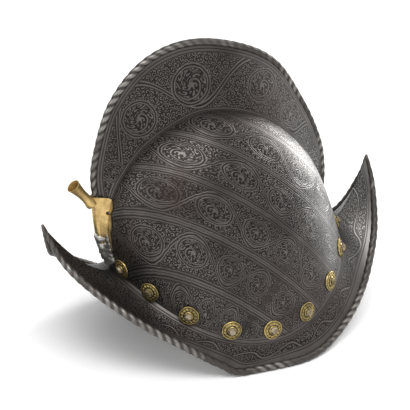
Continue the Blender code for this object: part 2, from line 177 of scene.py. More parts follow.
def wrap_grid(
    name: str, columns: int, rows: int, place: Callable[[int, int], Sequence[float]]
) -> bpy.types.Object:
    """A grid primitive whose corners are each moved to a place of their own.

    Args:
        name: The piece's name.
        columns: Faces along the grid.
        rows: Faces across it.
        place: Gives the position of the corner at a column and a row.

    Returns:
        The shaped grid.
    """
    item = add_grid(name, columns, rows)
    flat = get_vertices(item)
    column = np.rint((flat[:, 0] + 0.5) * columns).astype(int)
    row = np.rint((flat[:, 1] + 0.5) * rows).astype(int)
    points = np.array([place(c, r) for c, r in zip(column, row)])
    set_vertices(item, points)
    return item


def give_uv(item: bpy.types.Object, name: str, pairs: np.ndarray) -> None:
    """Write a UV map from one pair of values for each vertex."""
    layer = item.data.uv_layers.get(name) or item.data.uv_layers.new(name=name)
    corners = np.empty(len(item.data.loops), dtype=np.int32)
    item.data.loops.foreach_get("vertex_index", corners)
    layer.data.foreach_set("uv", pairs[corners].astype(np.float32).ravel())


@dataclass(frozen=True)
class HelmetForm:
    """The forged shape: where skull, comb and brim run, from the same sizes as the solids."""

    brim_length: float = 0.347
    brim_width: float = 0.219
    peak_rise: float = 0.142
    brim_dish: float = 0.024
    brim_flare: float = 0.42
    brim_roll: float = 0.0036
    skull_length: float = 0.2350
    skull_width: float = 0.1985
    skull_forward: float = 0.0158
    waist_height: float = 0.0265
    waist_sag: float = 0.056
    skull_rise: float = 0.2045
    dome_fullness: float = 1.9
    wall: float = 0.0012
    comb_height: float = 0.0700
    comb_root: float = 0.0125
    comb_neck: float = 0.0027
    comb_roll: float = 0.0034

    def station(self, share: float) -> dict[str, float]:
        """The station values at a share of the way from the rear tip to the front tip."""
        last = len(STATIONS) - 1
        place_on = min(max(share, 0.0), 1.0) * last
        first = min(int(place_on), last - 1)
        u = place_on - first
        around = [STATIONS[min(max(first + step, 0), last)] for step in (-1, 0, 1, 2)]
        values = {}
        for name, p0, p1, p2, p3 in zip(STATION_COLUMNS, *around):
            values[name] = 0.5 * (
                2 * p1 + (p2 - p0) * u
                + (2 * p0 - 5 * p1 + 4 * p2 - p3) * u**2
                + (3 * p1 - p0 - 3 * p2 + p3) * u**3
            )
        return values

    def waist(self, share: float) -> np.ndarray:
        """The bend between skull and brim on the near side."""
        turn = math.pi * self.station(share)["turn"]
        return np.array([
            self.skull_forward + self.skull_length / 2 * math.cos(turn),
            -self.skull_width / 2 * math.sin(turn),
            self.waist_height + self.waist_sag * math.cos(turn) ** 2,
        ])

    def comb_way(self, share: float) -> np.ndarray:
        """The direction in the middle plane from the crease to the comb's rim."""
        lean = self.station(share)["lean"] * math.pi / 2
        return np.array([math.sin(lean), 0.0, math.cos(lean)])

    def crease(self, share: float) -> np.ndarray:
        """The corner where the comb's wall meets the skull."""
        values = self.station(share)
        return np.array([
            self.skull_forward + values["crease_x"] * self.skull_length / 2,
            -max(values["root"] * self.comb_root, 0.001),
            self.waist_height + self.waist_sag + values["crease_z"] * self.skull_rise,
        ])

    def edge(self, share: float) -> np.ndarray:
        """The middle of the brim's rolled edge."""
        values = self.station(share)
        return np.array([
            values["edge_x"] * self.brim_length / 2,
            -values["edge_y"] * self.brim_width / 2,
            self.brim_roll + max(values["edge_z"], 0.0) * self.peak_rise,
        ])

    def comb_size(self, share: float) -> tuple[float, float]:
        """The comb's height above the crease and the radius of its roll."""
        height = max(self.station(share)["comb"] * self.comb_height, 0.0015)
        return height, min(self.comb_roll, 0.26 * height)

    def rim(self, share: float) -> np.ndarray:
        """The middle of the comb's rolled rim."""
        height, radius = self.comb_size(share)
        crease = self.crease(share) * np.array([1, 0, 1])
        return crease + self.comb_way(share) * (height - radius)

    def comb_profile(self, share: float, rows: int) -> np.ndarray:
        """The comb's flank from under its roll down to the crease, hollowed a little."""
        crease = self.crease(share)
        way = self.comb_way(share)
        height, radius = self.comb_size(share)
        neck = min(self.comb_neck, 0.8 * radius)
        root = -crease[1]
        marks = np.array([0.0, 0.10, 0.42, max(1 - 2 * radius / height, 0.5), 1.0])
        widths = np.array([root, neck + 0.84 * (root - neck), neck + 0.40 * (root - neck),
                           neck, 0.6 * neck])
        ups = np.linspace(1 - radius / height, 0.0, rows + 1)
        ups[0] = 1 - 0.6 * radius / height
        outs = np.interp(ups, marks, widths)
        foot = crease * np.array([1, 0, 1])
        return foot + np.outer(ups * height, way) + np.outer(-outs, [0, 1, 0])

    def dome_profile(self, share: float, rows: int) -> np.ndarray:
        """The skull from the crease to the waist."""
        crease = self.crease(share)
        waist = self.waist(share)
        power = 2 / self.dome_fullness
        turn = 0.5 * math.pi * np.linspace(0, 1, rows + 1)
        out = np.sin(turn) ** power
        down = 1 - np.maximum(np.cos(turn), 0.0) ** power
        return crease + (waist - crease) * np.stack([down, out, down], axis=1)

    def brim_control(self, share: float) -> np.ndarray:
        """The bend of the brim between waist and edge."""
        waist = self.waist(share)
        edge = self.edge(share)
        control = waist + (edge - waist) * np.array([self.brim_flare, self.brim_flare, 0.40])
        control[2] -= self.station(share)["dish"] * self.brim_dish
        return control

    def brim_profile(self, share: float, rows: int) -> np.ndarray:
        """The brim's upper face from the waist to the middle of its rolled edge."""
        waist = self.waist(share)
        control = self.brim_control(share)
        edge = self.edge(share)
        u = np.linspace(0, 1, rows + 1)[:, None]
        return waist * (1 - u) ** 2 + control * 2 * u * (1 - u) + edge * u**2


@dataclass
class NodeSheet:
    """Builds a shader's tree out of small steps of arithmetic.

    Attributes:
        material: The material whose tree is filled.
    """

    material: bpy.types.Material

    def __post_init__(self) -> None:
        """Open the tree and keep its shader."""
        self.material.use_nodes = True
        self.tree = self.material.node_tree
        self.shader = self.tree.nodes["Principled BSDF"]

    def node(self, kind: str, **settings: object) -> bpy.types.Node:
        """Add a node and set its properties."""
        made = self.tree.nodes.new(kind)
        for name, value in settings.items():
            setattr(made, name, value)
        return made

    def feed(self, socket: bpy.types.NodeSocket, value: object) -> None:
        """Link a socket to another or give it a plain value."""
        if isinstance(value, bpy.types.NodeSocket):
            self.tree.links.new(value, socket)
        else:
            socket.default_value = value

    def maths(self, operation: str, *values: object, clamp: bool = False) -> bpy.types.NodeSocket:
        """One step of arithmetic on numbers."""
        made = self.node("ShaderNodeMath", operation=operation, use_clamp=clamp)
        for socket, value in zip(made.inputs, values):
            self.feed(socket, value)
        return made.outputs[0]

    def add(self, a: object, b: object) -> bpy.types.NodeSocket:
        """The sum."""
        return self.maths("ADD", a, b)

    def sub(self, a: object, b: object) -> bpy.types.NodeSocket:
        """The difference."""
        return self.maths("SUBTRACT", a, b)

    def mul(self, a: object, b: object) -> bpy.types.NodeSocket:
        """The product."""
        return self.maths("MULTIPLY", a, b)

    def most(self, *values: object) -> bpy.types.NodeSocket:
        """The largest of several values."""
        result = values[0]
        for value in values[1:]:
            result = self.maths("MAXIMUM", result, value)
        return result

    def least(self, *values: object) -> bpy.types.NodeSocket:
        """The smallest of several values."""
        result = values[0]
        for value in values[1:]:
            result = self.maths("MINIMUM", result, value)
        return result

    def step(self, value: object, low: float, high: float) -> bpy.types.NodeSocket:
        """Zero below low, one above high, and smooth between. It falls if low is above high."""
        made = self.node("ShaderNodeMapRange", interpolation_type="SMOOTHSTEP")
        self.feed(made.inputs["Value"], value)
        made.inputs["From Min"].default_value = min(low, high)
        made.inputs["From Max"].default_value = max(low, high)
        made.inputs["To Min"].default_value = 0.0 if low < high else 1.0
        made.inputs["To Max"].default_value = 1.0 if low < high else 0.0
        return made.outputs["Result"]

    def line(self, distance: object, half: float, soft: float = 0.35) -> bpy.types.NodeSocket:
        """One on a line of this half width in millimetres, zero off it."""
        return self.step(self.maths("ABSOLUTE", distance), half + soft, max(half - soft, 0.0))

    def split(self, vector: bpy.types.NodeSocket) -> list[bpy.types.NodeSocket]:
        """The x, y and z of a vector."""
        made = self.node("ShaderNodeSeparateXYZ")
        self.feed(made.inputs[0], vector)
        return list(made.outputs)

    def join(self, x: object, y: object, z: object = 0.0) -> bpy.types.NodeSocket:
        """A vector of three values."""
        made = self.node("ShaderNodeCombineXYZ")
        for socket, value in zip(made.inputs, (x, y, z)):
            self.feed(socket, value)
        return made.outputs[0]

    def uv(self, name: str) -> list[bpy.types.NodeSocket]:
        """A UV map's two values."""
        made = self.node("ShaderNodeUVMap", uv_map=name)
        return self.split(made.outputs[0])[:2]

    def place(self) -> bpy.types.NodeSocket:
        """The position on the object, in metres."""
        return self.node("ShaderNodeTexCoord").outputs["Object"]

    def noise(self, vector: object, scale: float, detail: float = 3.0,
              rough: float = 0.55) -> bpy.types.NodeSocket:
        """Soft cloudy noise."""
        made = self.node("ShaderNodeTexNoise")
        self.feed(made.inputs["Vector"], vector)
        made.inputs["Scale"].default_value = scale
        made.inputs["Detail"].default_value = detail
        made.inputs["Roughness"].default_value = rough
        return made.outputs["Fac"]

    def colour(self, factor: object, low: object, high: object) -> bpy.types.NodeSocket:
        """A blend between two colours."""
        made = self.node("ShaderNodeMix", data_type="RGBA")
        self.feed(made.inputs["Factor"], factor)
        for socket, value in ((made.inputs[6], low), (made.inputs[7], high)):
            self.feed(socket, value if isinstance(value, bpy.types.NodeSocket) else (*value, 1.0))
        return made.outputs[2]

    def bump(self, height: object, distance: float, strength: float = 1.0,
             under: object = None) -> bpy.types.NodeSocket:
        """A normal bent by a height in units of the distance."""
        made = self.node("ShaderNodeBump")
        self.feed(made.inputs["Height"], height)
        made.inputs["Distance"].default_value = distance
        made.inputs["Strength"].default_value = strength
        if under is not None:
            self.feed(made.inputs["Normal"], under)
        return made.outputs[0]


@dataclass(frozen=True)
class Ornament:
    """The etched scrollwork, drawn on a map whose values are in millimetres.

    Attributes:
        roundel: Radius of a large roundel.
    """

    roundel: float = 14.0

    def curls(self, sheet: NodeSheet, u: object, v: object, size: float,
              pitch: float) -> bpy.types.NodeSocket:
        """Small curls packed side by side, each wound its own way.

        Args:
            sheet: The tree to draw in.
            u: Place along the map.
            v: Place across the map.
            size: Distance between the middles of two curls.
            pitch: Distance between two turns of a curl.

        Returns:
            A field that is one on the raised strokes and zero on the ground.
        """
        cells = sheet.node("ShaderNodeTexVoronoi", voronoi_dimensions="2D", feature="F1")
        cells.inputs["Scale"].default_value = 1.0 / size
        cells.inputs["Randomness"].default_value = 0.85
        sheet.feed(cells.inputs["Vector"], sheet.join(u, v))
        middle = sheet.split(cells.outputs["Position"])
        tint = sheet.node("ShaderNodeSeparateColor")
        sheet.feed(tint.inputs[0], cells.outputs["Color"])
        du = sheet.sub(u, middle[0])
        dv = sheet.sub(v, middle[1])
        reach = sheet.maths("SQRT", sheet.add(sheet.mul(du, du), sheet.mul(dv, dv)))
        angle = sheet.maths("ARCTAN2", dv, du)
        hand = sheet.sub(sheet.mul(sheet.maths("GREATER_THAN", tint.outputs[0], 0.5), 2.0), 1.0)
        turn = sheet.add(sheet.mul(angle, hand), sheet.mul(reach, 2 * math.pi / pitch))
        turn = sheet.add(turn, sheet.mul(tint.outputs[1], 2 * math.pi))
        wave = sheet.maths("SINE", turn)
        stroke = sheet.step(wave, -0.15, 0.35)
        border = sheet.node("ShaderNodeTexVoronoi", voronoi_dimensions="2D",
                            feature="DISTANCE_TO_EDGE")
        border.inputs["Scale"].default_value = 1.0 / size
        border.inputs["Randomness"].default_value = 0.85
        sheet.feed(border.inputs["Vector"], sheet.join(u, v))
        gap = sheet.step(border.outputs["Distance"], 0.02, 0.10)
        return sheet.mul(stroke, gap)

    def wander(self, sheet: NodeSheet, u: object, v: object,
               reach: float) -> tuple[object, object]:
        """Shake the map a little so no stroke is ruled."""
        vector = sheet.join(u, v)
        first = sheet.noise(vector, 0.16, 1.0)
        moved = sheet.join(sheet.add(u, 37.0), sheet.add(v, 11.0))
        second = sheet.noise(moved, 0.16, 1.0)
        return (sheet.add(u, sheet.mul(sheet.sub(first, 0.5), reach)),
                sheet.add(v, sheet.mul(sheet.sub(second, 0.5), reach)))

    def roundel_field(self, sheet: NodeSheet, du: object, dv: object,
                      radius: float) -> tuple[object, object, object]:
        """A roundel: its double ring, the leaves curling inside, and where it covers the band.

        Args:
            sheet: The tree to draw in.
            du: Distance along the band from the roundel's middle.
            dv: Distance across the band from it.
            radius: Radius of the outer ring.

        Returns:
            The rings, the leaves inside, and one inside the roundel.
        """
        reach = sheet.maths("SQRT", sheet.add(sheet.mul(du, du), sheet.mul(dv, dv)))
        angle = sheet.maths("ARCTAN2", dv, du)
        outer = sheet.line(sheet.sub(reach, radius), 0.55)
        inner = sheet.line(sheet.sub(reach, radius - 2.1), 0.42)
        rings = sheet.maths("MAXIMUM", outer, inner)
        inside = sheet.step(reach, radius + 0.6, radius - 0.2)
        twist = sheet.mul(reach, 0.11)
        cosine = sheet.maths("COSINE", twist)
        sine = sheet.maths("SINE", twist)
        wound_u = sheet.sub(sheet.mul(du, cosine), sheet.mul(dv, sine))
        wound_v = sheet.add(sheet.mul(du, sine), sheet.mul(dv, cosine))
        leaves = self.curls(sheet, sheet.add(wound_u, radius * 7), wound_v, 5.0, 2.5)
        arm = sheet.add(sheet.mul(angle, 0.5 / math.pi), sheet.mul(reach, 1.15 / radius))
        arm = sheet.sub(sheet.maths("FRACT", arm), 0.5)
        arm = sheet.mul(arm, radius / 1.15)
        stem = sheet.line(arm, 0.50)
        clear = sheet.line(arm, 1.15, 0.35)
        leaves = sheet.maths("MAXIMUM", sheet.mul(leaves, sheet.sub(1.0, clear)), stem)
        leaves = sheet.mul(leaves, sheet.step(reach, radius - 2.7, radius - 3.3))
        bud = sheet.step(reach, 1.9, 1.4)
        return rings, sheet.maths("MAXIMUM", leaves, bud), inside


@dataclass(frozen=True)
class EtchedSteel:
    """Blackened steel, etched in bands and stained, its high parts towards the front painted bright:
    partly polished wear, partly a painted highlight.

    Attributes:
        ground: Colour of the etched ground.
        raised: Colour of the raised strokes.
        bright: Colour of the polished wear and painted highlight on the front flank.
        stain: Colour of brown patches.
    """

    ground: tuple[float, float, float] = (0.018, 0.0155, 0.0145)
    raised: tuple[float, float, float] = (0.128, 0.116, 0.108)
    bright: tuple[float, float, float] = (0.62, 0.61, 0.60)
    stain: tuple[float, float, float] = (0.042, 0.026, 0.020)

    def comb(self, sheet: NodeSheet, art: Ornament) -> tuple[object, object]:
        """Roundels placed along the comb, with border lines along rim and crease.

        Args:
            sheet: The tree to draw in.
            art: The ornament's sizes.

        Returns:
            The height of the etching and the deep lines of the borders.
        """
        x, z = sheet.uv("ornament")
        rim, crease = sheet.uv("borders")
        along, across = sheet.uv("run")
        u, v = art.wander(sheet, x, z, 1.6)
        field = art.curls(sheet, u, v, 4.3, 2.1)
        wave = sheet.mul(sheet.maths("COSINE", sheet.mul(along, math.pi)), 0.40)
        stem = sheet.sub(sheet.sub(across, 0.5), wave)
        tall = sheet.add(rim, crease)
        stem = sheet.mul(stem, sheet.mul(tall, 0.62))
        stems = sheet.most(sheet.line(sheet.sub(stem, 1.2), 0.5), sheet.line(sheet.add(stem, 1.2), 0.5))
        clear = sheet.line(stem, 2.4, 0.4)
        field = sheet.mul(field, sheet.sub(1.0, clear))
        field = sheet.maths("MAXIMUM", field, stems)
        places = ((-24.0, 258.0, 20.0), (-77.5, 233.5, 17.5), (51.0, 244.0, 16.0),
                  (82.0, 209.0, 12.5), (-104.5, 186.0, 11.0), (101.5, 176.0, 8.5))
        du = 1000.0
        dv = 1000.0
        for px, pz, radius in places:
            scale = art.roundel / radius
            near_u = sheet.mul(sheet.sub(u, px), scale)
            near_v = sheet.mul(sheet.sub(v, pz), scale)
            apart = sheet.add(sheet.mul(near_u, near_u), sheet.mul(near_v, near_v))
            here = sheet.maths("LESS_THAN", apart, (art.roundel + 1.5) ** 2)
            du = sheet.add(du, sheet.mul(here, sheet.sub(near_u, du)))
            dv = sheet.add(dv, sheet.mul(here, sheet.sub(near_v, dv)))
        rings, leaves, inside = art.roundel_field(sheet, du, dv, art.roundel)
        drawn = sheet.maths("MAXIMUM", rings, leaves)
        field = sheet.add(sheet.mul(field, sheet.sub(1.0, inside)), sheet.mul(drawn, inside))
        edge = sheet.least(sheet.sub(rim, 11.5), sheet.sub(crease, 3.6))
        body = sheet.step(edge, -0.2, 0.3)
        field = sheet.mul(field, body)
        plain = sheet.sub(1.0, body)
        strips = sheet.most(
            sheet.line(sheet.sub(rim, 4.6), 0.55), sheet.line(sheet.sub(rim, 7.6), 0.55),
            sheet.line(sheet.sub(rim, 10.6), 0.55), sheet.line(sheet.sub(crease, 3.0), 0.45),
            sheet.line(sheet.sub(crease, 0.8), 0.45))
        pit_x = sheet.sub(x, 43.3)
        pit_z = sheet.sub(z, 275.5)
        pit = sheet.maths("SQRT", sheet.add(sheet.mul(pit_x, pit_x), sheet.mul(pit_z, pit_z)))
        strips = sheet.maths("MAXIMUM", strips, sheet.step(pit, 1.5, 0.9))
        return sheet.add(field, sheet.mul(plain, 0.72)), strips

    def skull(self, sheet: NodeSheet, art: Ornament) -> tuple[object, object]:
        """Oblique bands of roundels and stems between triple border lines.

        Args:
            sheet: The tree to draw in.
            art: The ornament's sizes.

        Returns:
            The height of the etching and the deep lines of the borders.
        """
        u0, v0 = sheet.uv("ornament")
        crease, waist = sheet.uv("borders")
        u, v = art.wander(sheet, u0, v0, 1.6)
        tall = BAND_TALL
        band = sheet.maths("FLOOR", sheet.mul(sheet.add(v0, BAND_SHIFT), 1 / tall))
        local = sheet.sub(sheet.sub(v, sheet.mul(band, tall)), -BAND_SHIFT + tall / 2)
        field = art.curls(sheet, u, v, 4.2, 2.05)
        width = ROUNDEL_PITCH
        slide = sheet.mul(band, 11.0)
        run = sheet.mul(sheet.add(u, slide), 1 / width)
        cell = sheet.maths("FLOOR", run)
        du = sheet.mul(sheet.sub(sheet.sub(run, cell), 0.5), width)
        wave = sheet.mul(sheet.maths("COSINE", sheet.mul(sheet.sub(run, 0.5), math.pi)), 17.0)
        stem = sheet.mul(sheet.sub(local, wave), 0.72)
        stems = sheet.most(sheet.line(sheet.sub(stem, 1.1), 0.48), sheet.line(sheet.add(stem, 1.1), 0.48))
        clear = sheet.line(stem, 2.3, 0.4)
        field = sheet.maths("MAXIMUM", sheet.mul(field, sheet.sub(1.0, clear)), stems)
        rings, leaves, inside = art.roundel_field(sheet, du, local, art.roundel)
        drawn = sheet.maths("MAXIMUM", rings, leaves)
        field = sheet.add(sheet.mul(field, sheet.sub(1.0, inside)), sheet.mul(drawn, inside))
        off = sheet.sub(tall / 2, sheet.maths("ABSOLUTE", local))
        body = sheet.step(sheet.least(sheet.sub(off, 5.6), sheet.sub(crease, 1.4),
                                      sheet.sub(waist, 3.0)), -0.2, 0.3)
        field = sheet.mul(field, body)
        plain = sheet.sub(1.0, body)
        strips = sheet.most(
            sheet.line(sheet.sub(off, 5.0), 0.55), sheet.line(sheet.sub(off, 2.7), 0.75),
            sheet.mul(sheet.line(off, 0.4), 0.8), sheet.line(sheet.sub(crease, 0.6), 0.5),
            sheet.line(sheet.sub(waist, 1.4), 0.45))
        return sheet.add(field, sheet.mul(plain, 0.78)), strips

    def brim(self, sheet: NodeSheet, art: Ornament) -> tuple[object, object]:
        """A band of running scrolls between double lines.

        Args:
            sheet: The tree to draw in.
            art: The ornament's sizes.

        Returns:
            The height of the etching and the deep lines of the borders.
        """
        u0, v0 = sheet.uv("ornament")
        waist, edge = sheet.uv("borders")
        u, v = art.wander(sheet, u0, v0, 1.6)
        field = art.curls(sheet, u, v, 4.4, 2.2)
        wave = sheet.mul(sheet.maths("COSINE", sheet.mul(u, math.pi / 21.0)), 5.0)
        middle = sheet.mul(sheet.sub(waist, edge), 0.5)
        stem = sheet.mul(sheet.sub(middle, wave), 0.8)
        stems = sheet.line(stem, 0.6)
        clear = sheet.line(stem, 1.7, 0.4)
        field = sheet.maths("MAXIMUM", sheet.mul(field, sheet.sub(1.0, clear)), stems)
        body = sheet.step(sheet.least(sheet.sub(edge, 13.5), sheet.sub(waist, 6.0)), -0.2, 0.3)
        field = sheet.mul(field, body)
        plain = sheet.sub(1.0, body)
        strips = sheet.most(
            sheet.line(sheet.sub(edge, 12.6), 0.55), sheet.line(sheet.sub(edge, 9.8), 0.55),
            sheet.line(sheet.sub(waist, 5.2), 0.5), sheet.line(sheet.sub(waist, 2.8), 0.5))
        return sheet.add(field, sheet.mul(plain, 0.70)), strips

    def build(self, region: Region) -> bpy.types.Material:
        """The finish of one region of the plate.

        Args:
            region: Which part of the plate it dresses.

        Returns:
            The material.
        """
        sheet = NodeSheet(bpy.data.materials.new(f"etched_steel_{region.name.lower()}"))
        draw = {Region.COMB: self.comb, Region.SKULL: self.skull, Region.BRIM: self.brim}[region]
        field, strips = draw(sheet, Ornament())
        place = sheet.place()
        x, y, z = sheet.split(place)
        cloud = sheet.noise(place, 26.0, 5.0, 0.6)
        patch = sheet.noise(place, 11.0, 3.0, 0.5)
        grit = sheet.noise(place, 900.0, 3.0, 0.7)
        fade = sheet.step(cloud, 0.30, 0.62)
        height = sheet.mul(field, sheet.sub(1.0, sheet.mul(strips, 0.9)))
        tone = sheet.mul(height, sheet.add(0.55, sheet.mul(fade, 0.45)))
        tone = sheet.mul(tone, sheet.add(0.72, sheet.mul(grit, 0.5)))
        colour = sheet.colour(tone, self.ground, self.raised)
        brown = sheet.mul(sheet.step(patch, 0.50, 0.72), 0.45)
        colour = sheet.colour(brown, colour, self.stain)
        # Painted highlight: towards the front and top, strongest on the skull and on its raised strokes,
        # the colour is blended towards bright. This is partly polished wear and partly a painted
        # highlight where light glints on the front flank.
        flank = sheet.add(sheet.mul(x, 8.0), sheet.mul(sheet.sub(z, 0.12), 2.2))
        worn = sheet.mul(sheet.step(flank, 0.44, 0.98), sheet.add(0.35, sheet.mul(cloud, 0.9)))
        if region is not Region.SKULL:
            worn = sheet.mul(worn, 0.25)
        worn = sheet.maths("MULTIPLY", worn, 0.9, clamp=True)
        polish_and_highlight = sheet.colour(sheet.add(0.35, sheet.mul(height, 0.65)), self.raised, self.bright)
        colour = sheet.colour(worn, colour, polish_and_highlight)
        sheet.feed(sheet.shader.inputs["Base Color"], colour)
        sheet.shader.inputs["Metallic"].default_value = 0.85
        rough = sheet.add(0.46, sheet.mul(sheet.sub(cloud, 0.5), 0.22))
        rough = sheet.sub(rough, sheet.mul(height, 0.06))
        rough = sheet.sub(rough, sheet.mul(worn, 0.10))
        sheet.feed(sheet.shader.inputs["Roughness"], rough)
        fine = sheet.bump(grit, 0.00006, 0.5)
        bent = sheet.bump(height, 0.00022, 0.9, fine)
        dents = sheet.noise(place, 38.0, 2.0, 0.4)
        bent = sheet.bump(dents, 0.0009, 0.30, bent)
        sheet.feed(sheet.shader.inputs["Normal"], bent)
        return sheet.material


@dataclass(frozen=True)
class PlainSteel:
    """Unetched steel, as inside the helmet and on the rivets.

    Attributes:
        name: The material's name.
        dark: Colour of the oxide.
        light: Colour of the bare metal.
        rough: Roughness.
    """

    name: str
    dark: tuple[float, float, float]
    light: tuple[float, float, float]
    rough: float

    def build(self) -> bpy.types.Material:
        """The material, mottled and lightly pitted."""
        sheet = NodeSheet(bpy.data.materials.new(self.name))
        place = sheet.place()
        cloud = sheet.noise(place, 45.0, 5.0, 0.65)
        grit = sheet.noise(place, 700.0, 3.0, 0.7)
        tone = sheet.step(sheet.add(cloud, sheet.mul(sheet.sub(grit, 0.5), 0.25)), 0.35, 0.68)
        sheet.feed(sheet.shader.inputs["Base Color"], sheet.colour(tone, self.dark, self.light))
        sheet.shader.inputs["Metallic"].default_value = 0.85
        sheet.feed(sheet.shader.inputs["Roughness"],
                   sheet.add(self.rough, sheet.mul(sheet.sub(cloud, 0.5), 0.2)))
        bent = sheet.bump(grit, 0.00008, 0.6)
        sheet.feed(sheet.shader.inputs["Normal"], sheet.bump(cloud, 0.0006, 0.3, bent))
        return sheet.material


@dataclass(frozen=True)
class RopedSteel:
    """The roped edges: strands worn bright on top, with painted shade making the grooves between them
    black.

    Attributes:
        groove: Colour of the painted shade in the grooves.
        strand: Colour of the strands.
        worn: Colour of their worn crests.
    """

    groove: tuple[float, float, float] = (0.014, 0.012, 0.011)
    strand: tuple[float, float, float] = (0.070, 0.063, 0.058)
    worn: tuple[float, float, float] = (0.24, 0.225, 0.21)

    def build(self) -> bpy.types.Material:
        """The material, which reads how high on a strand a point lies."""
        sheet = NodeSheet(bpy.data.materials.new("roped_steel"))
        height, _ = sheet.uv("strand")
        place = sheet.place()
        cloud = sheet.noise(place, 60.0, 4.0, 0.6)
        wide = sheet.noise(place, 16.0, 2.0, 0.5)
        grit = sheet.noise(place, 800.0, 3.0, 0.7)
        # Painted shade: the grooves, where a point lies low on its strand, are painted near black.
        deep = sheet.step(sheet.add(height, sheet.mul(sheet.sub(cloud, 0.5), 0.35)), 0.12, 0.50)
        crest = sheet.mul(sheet.step(height, 0.62, 1.0), sheet.step(
            sheet.add(wide, sheet.mul(sheet.sub(cloud, 0.5), 0.5)), 0.42, 0.66))
        colour = sheet.colour(deep, self.groove, self.strand)
        colour = sheet.colour(crest, colour, self.worn)
        sheet.feed(sheet.shader.inputs["Base Color"], colour)
        sheet.shader.inputs["Metallic"].default_value = 0.85
        sheet.feed(sheet.shader.inputs["Roughness"],
                   sheet.sub(0.52, sheet.mul(crest, 0.14)))
        bent = sheet.bump(grit, 0.0001, 0.6)
        sheet.feed(sheet.shader.inputs["Normal"], sheet.bump(cloud, 0.0006, 0.4, bent))
        return sheet.material


@dataclass(frozen=True)
class AgedBrass:
    """Brass gone dull, greener and darker where dirt stays.

    Attributes:
        name: The material's name.
        clean: Colour of rubbed brass.
        dull: Colour of tarnished brass.
        dirt: Colour in the hollows.
    """

    name: str = "aged_brass"
    clean: tuple[float, float, float] = (0.44, 0.33, 0.13)
    dull: tuple[float, float, float] = (0.20, 0.155, 0.062)
    dirt: tuple[float, float, float] = (0.026, 0.024, 0.012)

    def build(self, hollows: bool) -> bpy.types.Material:
        """The material.

        Args:
            hollows: Whether the piece has a map of its hollows named relief.

        Returns:
            The material.
        """
        sheet = NodeSheet(bpy.data.materials.new(self.name))
        place = sheet.place()
        cloud = sheet.noise(place, 120.0, 5.0, 0.65)
        wide = sheet.noise(place, 32.0, 2.0, 0.5)
        grit = sheet.noise(place, 1100.0, 3.0, 0.7)
        tone = sheet.step(sheet.add(cloud, sheet.mul(sheet.sub(wide, 0.5), 0.8)), 0.34, 0.66)
        colour = sheet.colour(tone, self.dull, self.clean)
        if hollows:
            relief, _ = sheet.uv("relief")
            low = sheet.step(sheet.add(relief, sheet.mul(sheet.sub(cloud, 0.5), 0.3)), 0.62, 0.18)
            colour = sheet.colour(sheet.mul(low, 0.9), colour, self.dirt)
        sheet.feed(sheet.shader.inputs["Base Color"], colour)
        sheet.shader.inputs["Metallic"].default_value = 0.9
        sheet.feed(sheet.shader.inputs["Roughness"],
                   sheet.sub(0.46, sheet.mul(tone, 0.16)))
        bent = sheet.bump(grit, 0.00005, 0.5)
        sheet.feed(sheet.shader.inputs["Normal"], sheet.bump(cloud, 0.0003, 0.4, bent))
        return sheet.material


@dataclass
class Finishes:
    """Every finish, made once.

    Attributes:
        comb: Etched steel of the comb.
        skull: Etched steel of the skull.
        brim: Etched steel of the brim.
        inside: Bare steel inside.
        rope: The roped edges.
        brass: The plume holder's brass.
        rosette: The rosettes' brass.
        rivet: The rivets.
        solder: The solder.
    """

    comb: bpy.types.Material
    skull: bpy.types.Material
    brim: bpy.types.Material
    inside: bpy.types.Material
    rope: bpy.types.Material
    brass: bpy.types.Material
    rosette: bpy.types.Material
    rivet: bpy.types.Material
    solder: bpy.types.Material

    @classmethod
    def make(cls) -> Finishes:
        """Build all the materials."""
        steel = EtchedSteel()
        return cls(
            comb=steel.build(Region.COMB),
            skull=steel.build(Region.SKULL),
            brim=steel.build(Region.BRIM),
            inside=PlainSteel("inner_steel", (0.018, 0.015, 0.013), (0.075, 0.068, 0.062), 0.55).build(),
            rope=RopedSteel().build(),
            brass=AgedBrass("holder_brass", (0.62, 0.45, 0.19), (0.42, 0.29, 0.115)).build(False),
            rosette=AgedBrass("rosette_brass").build(True),
            rivet=PlainSteel("rivet_steel", (0.13, 0.10, 0.05), (0.34, 0.29, 0.20), 0.38).build(),
            solder=PlainSteel("old_solder", (0.22, 0.21, 0.19), (0.70, 0.69, 0.66), 0.42).build(),
        )


def path_lengths(points: np.ndarray) -> np.ndarray:
    """The distance along a row of points to each of them."""
    steps = np.linalg.norm(np.diff(points, axis=0), axis=1)
    return np.concatenate([[0.0], np.cumsum(steps)])


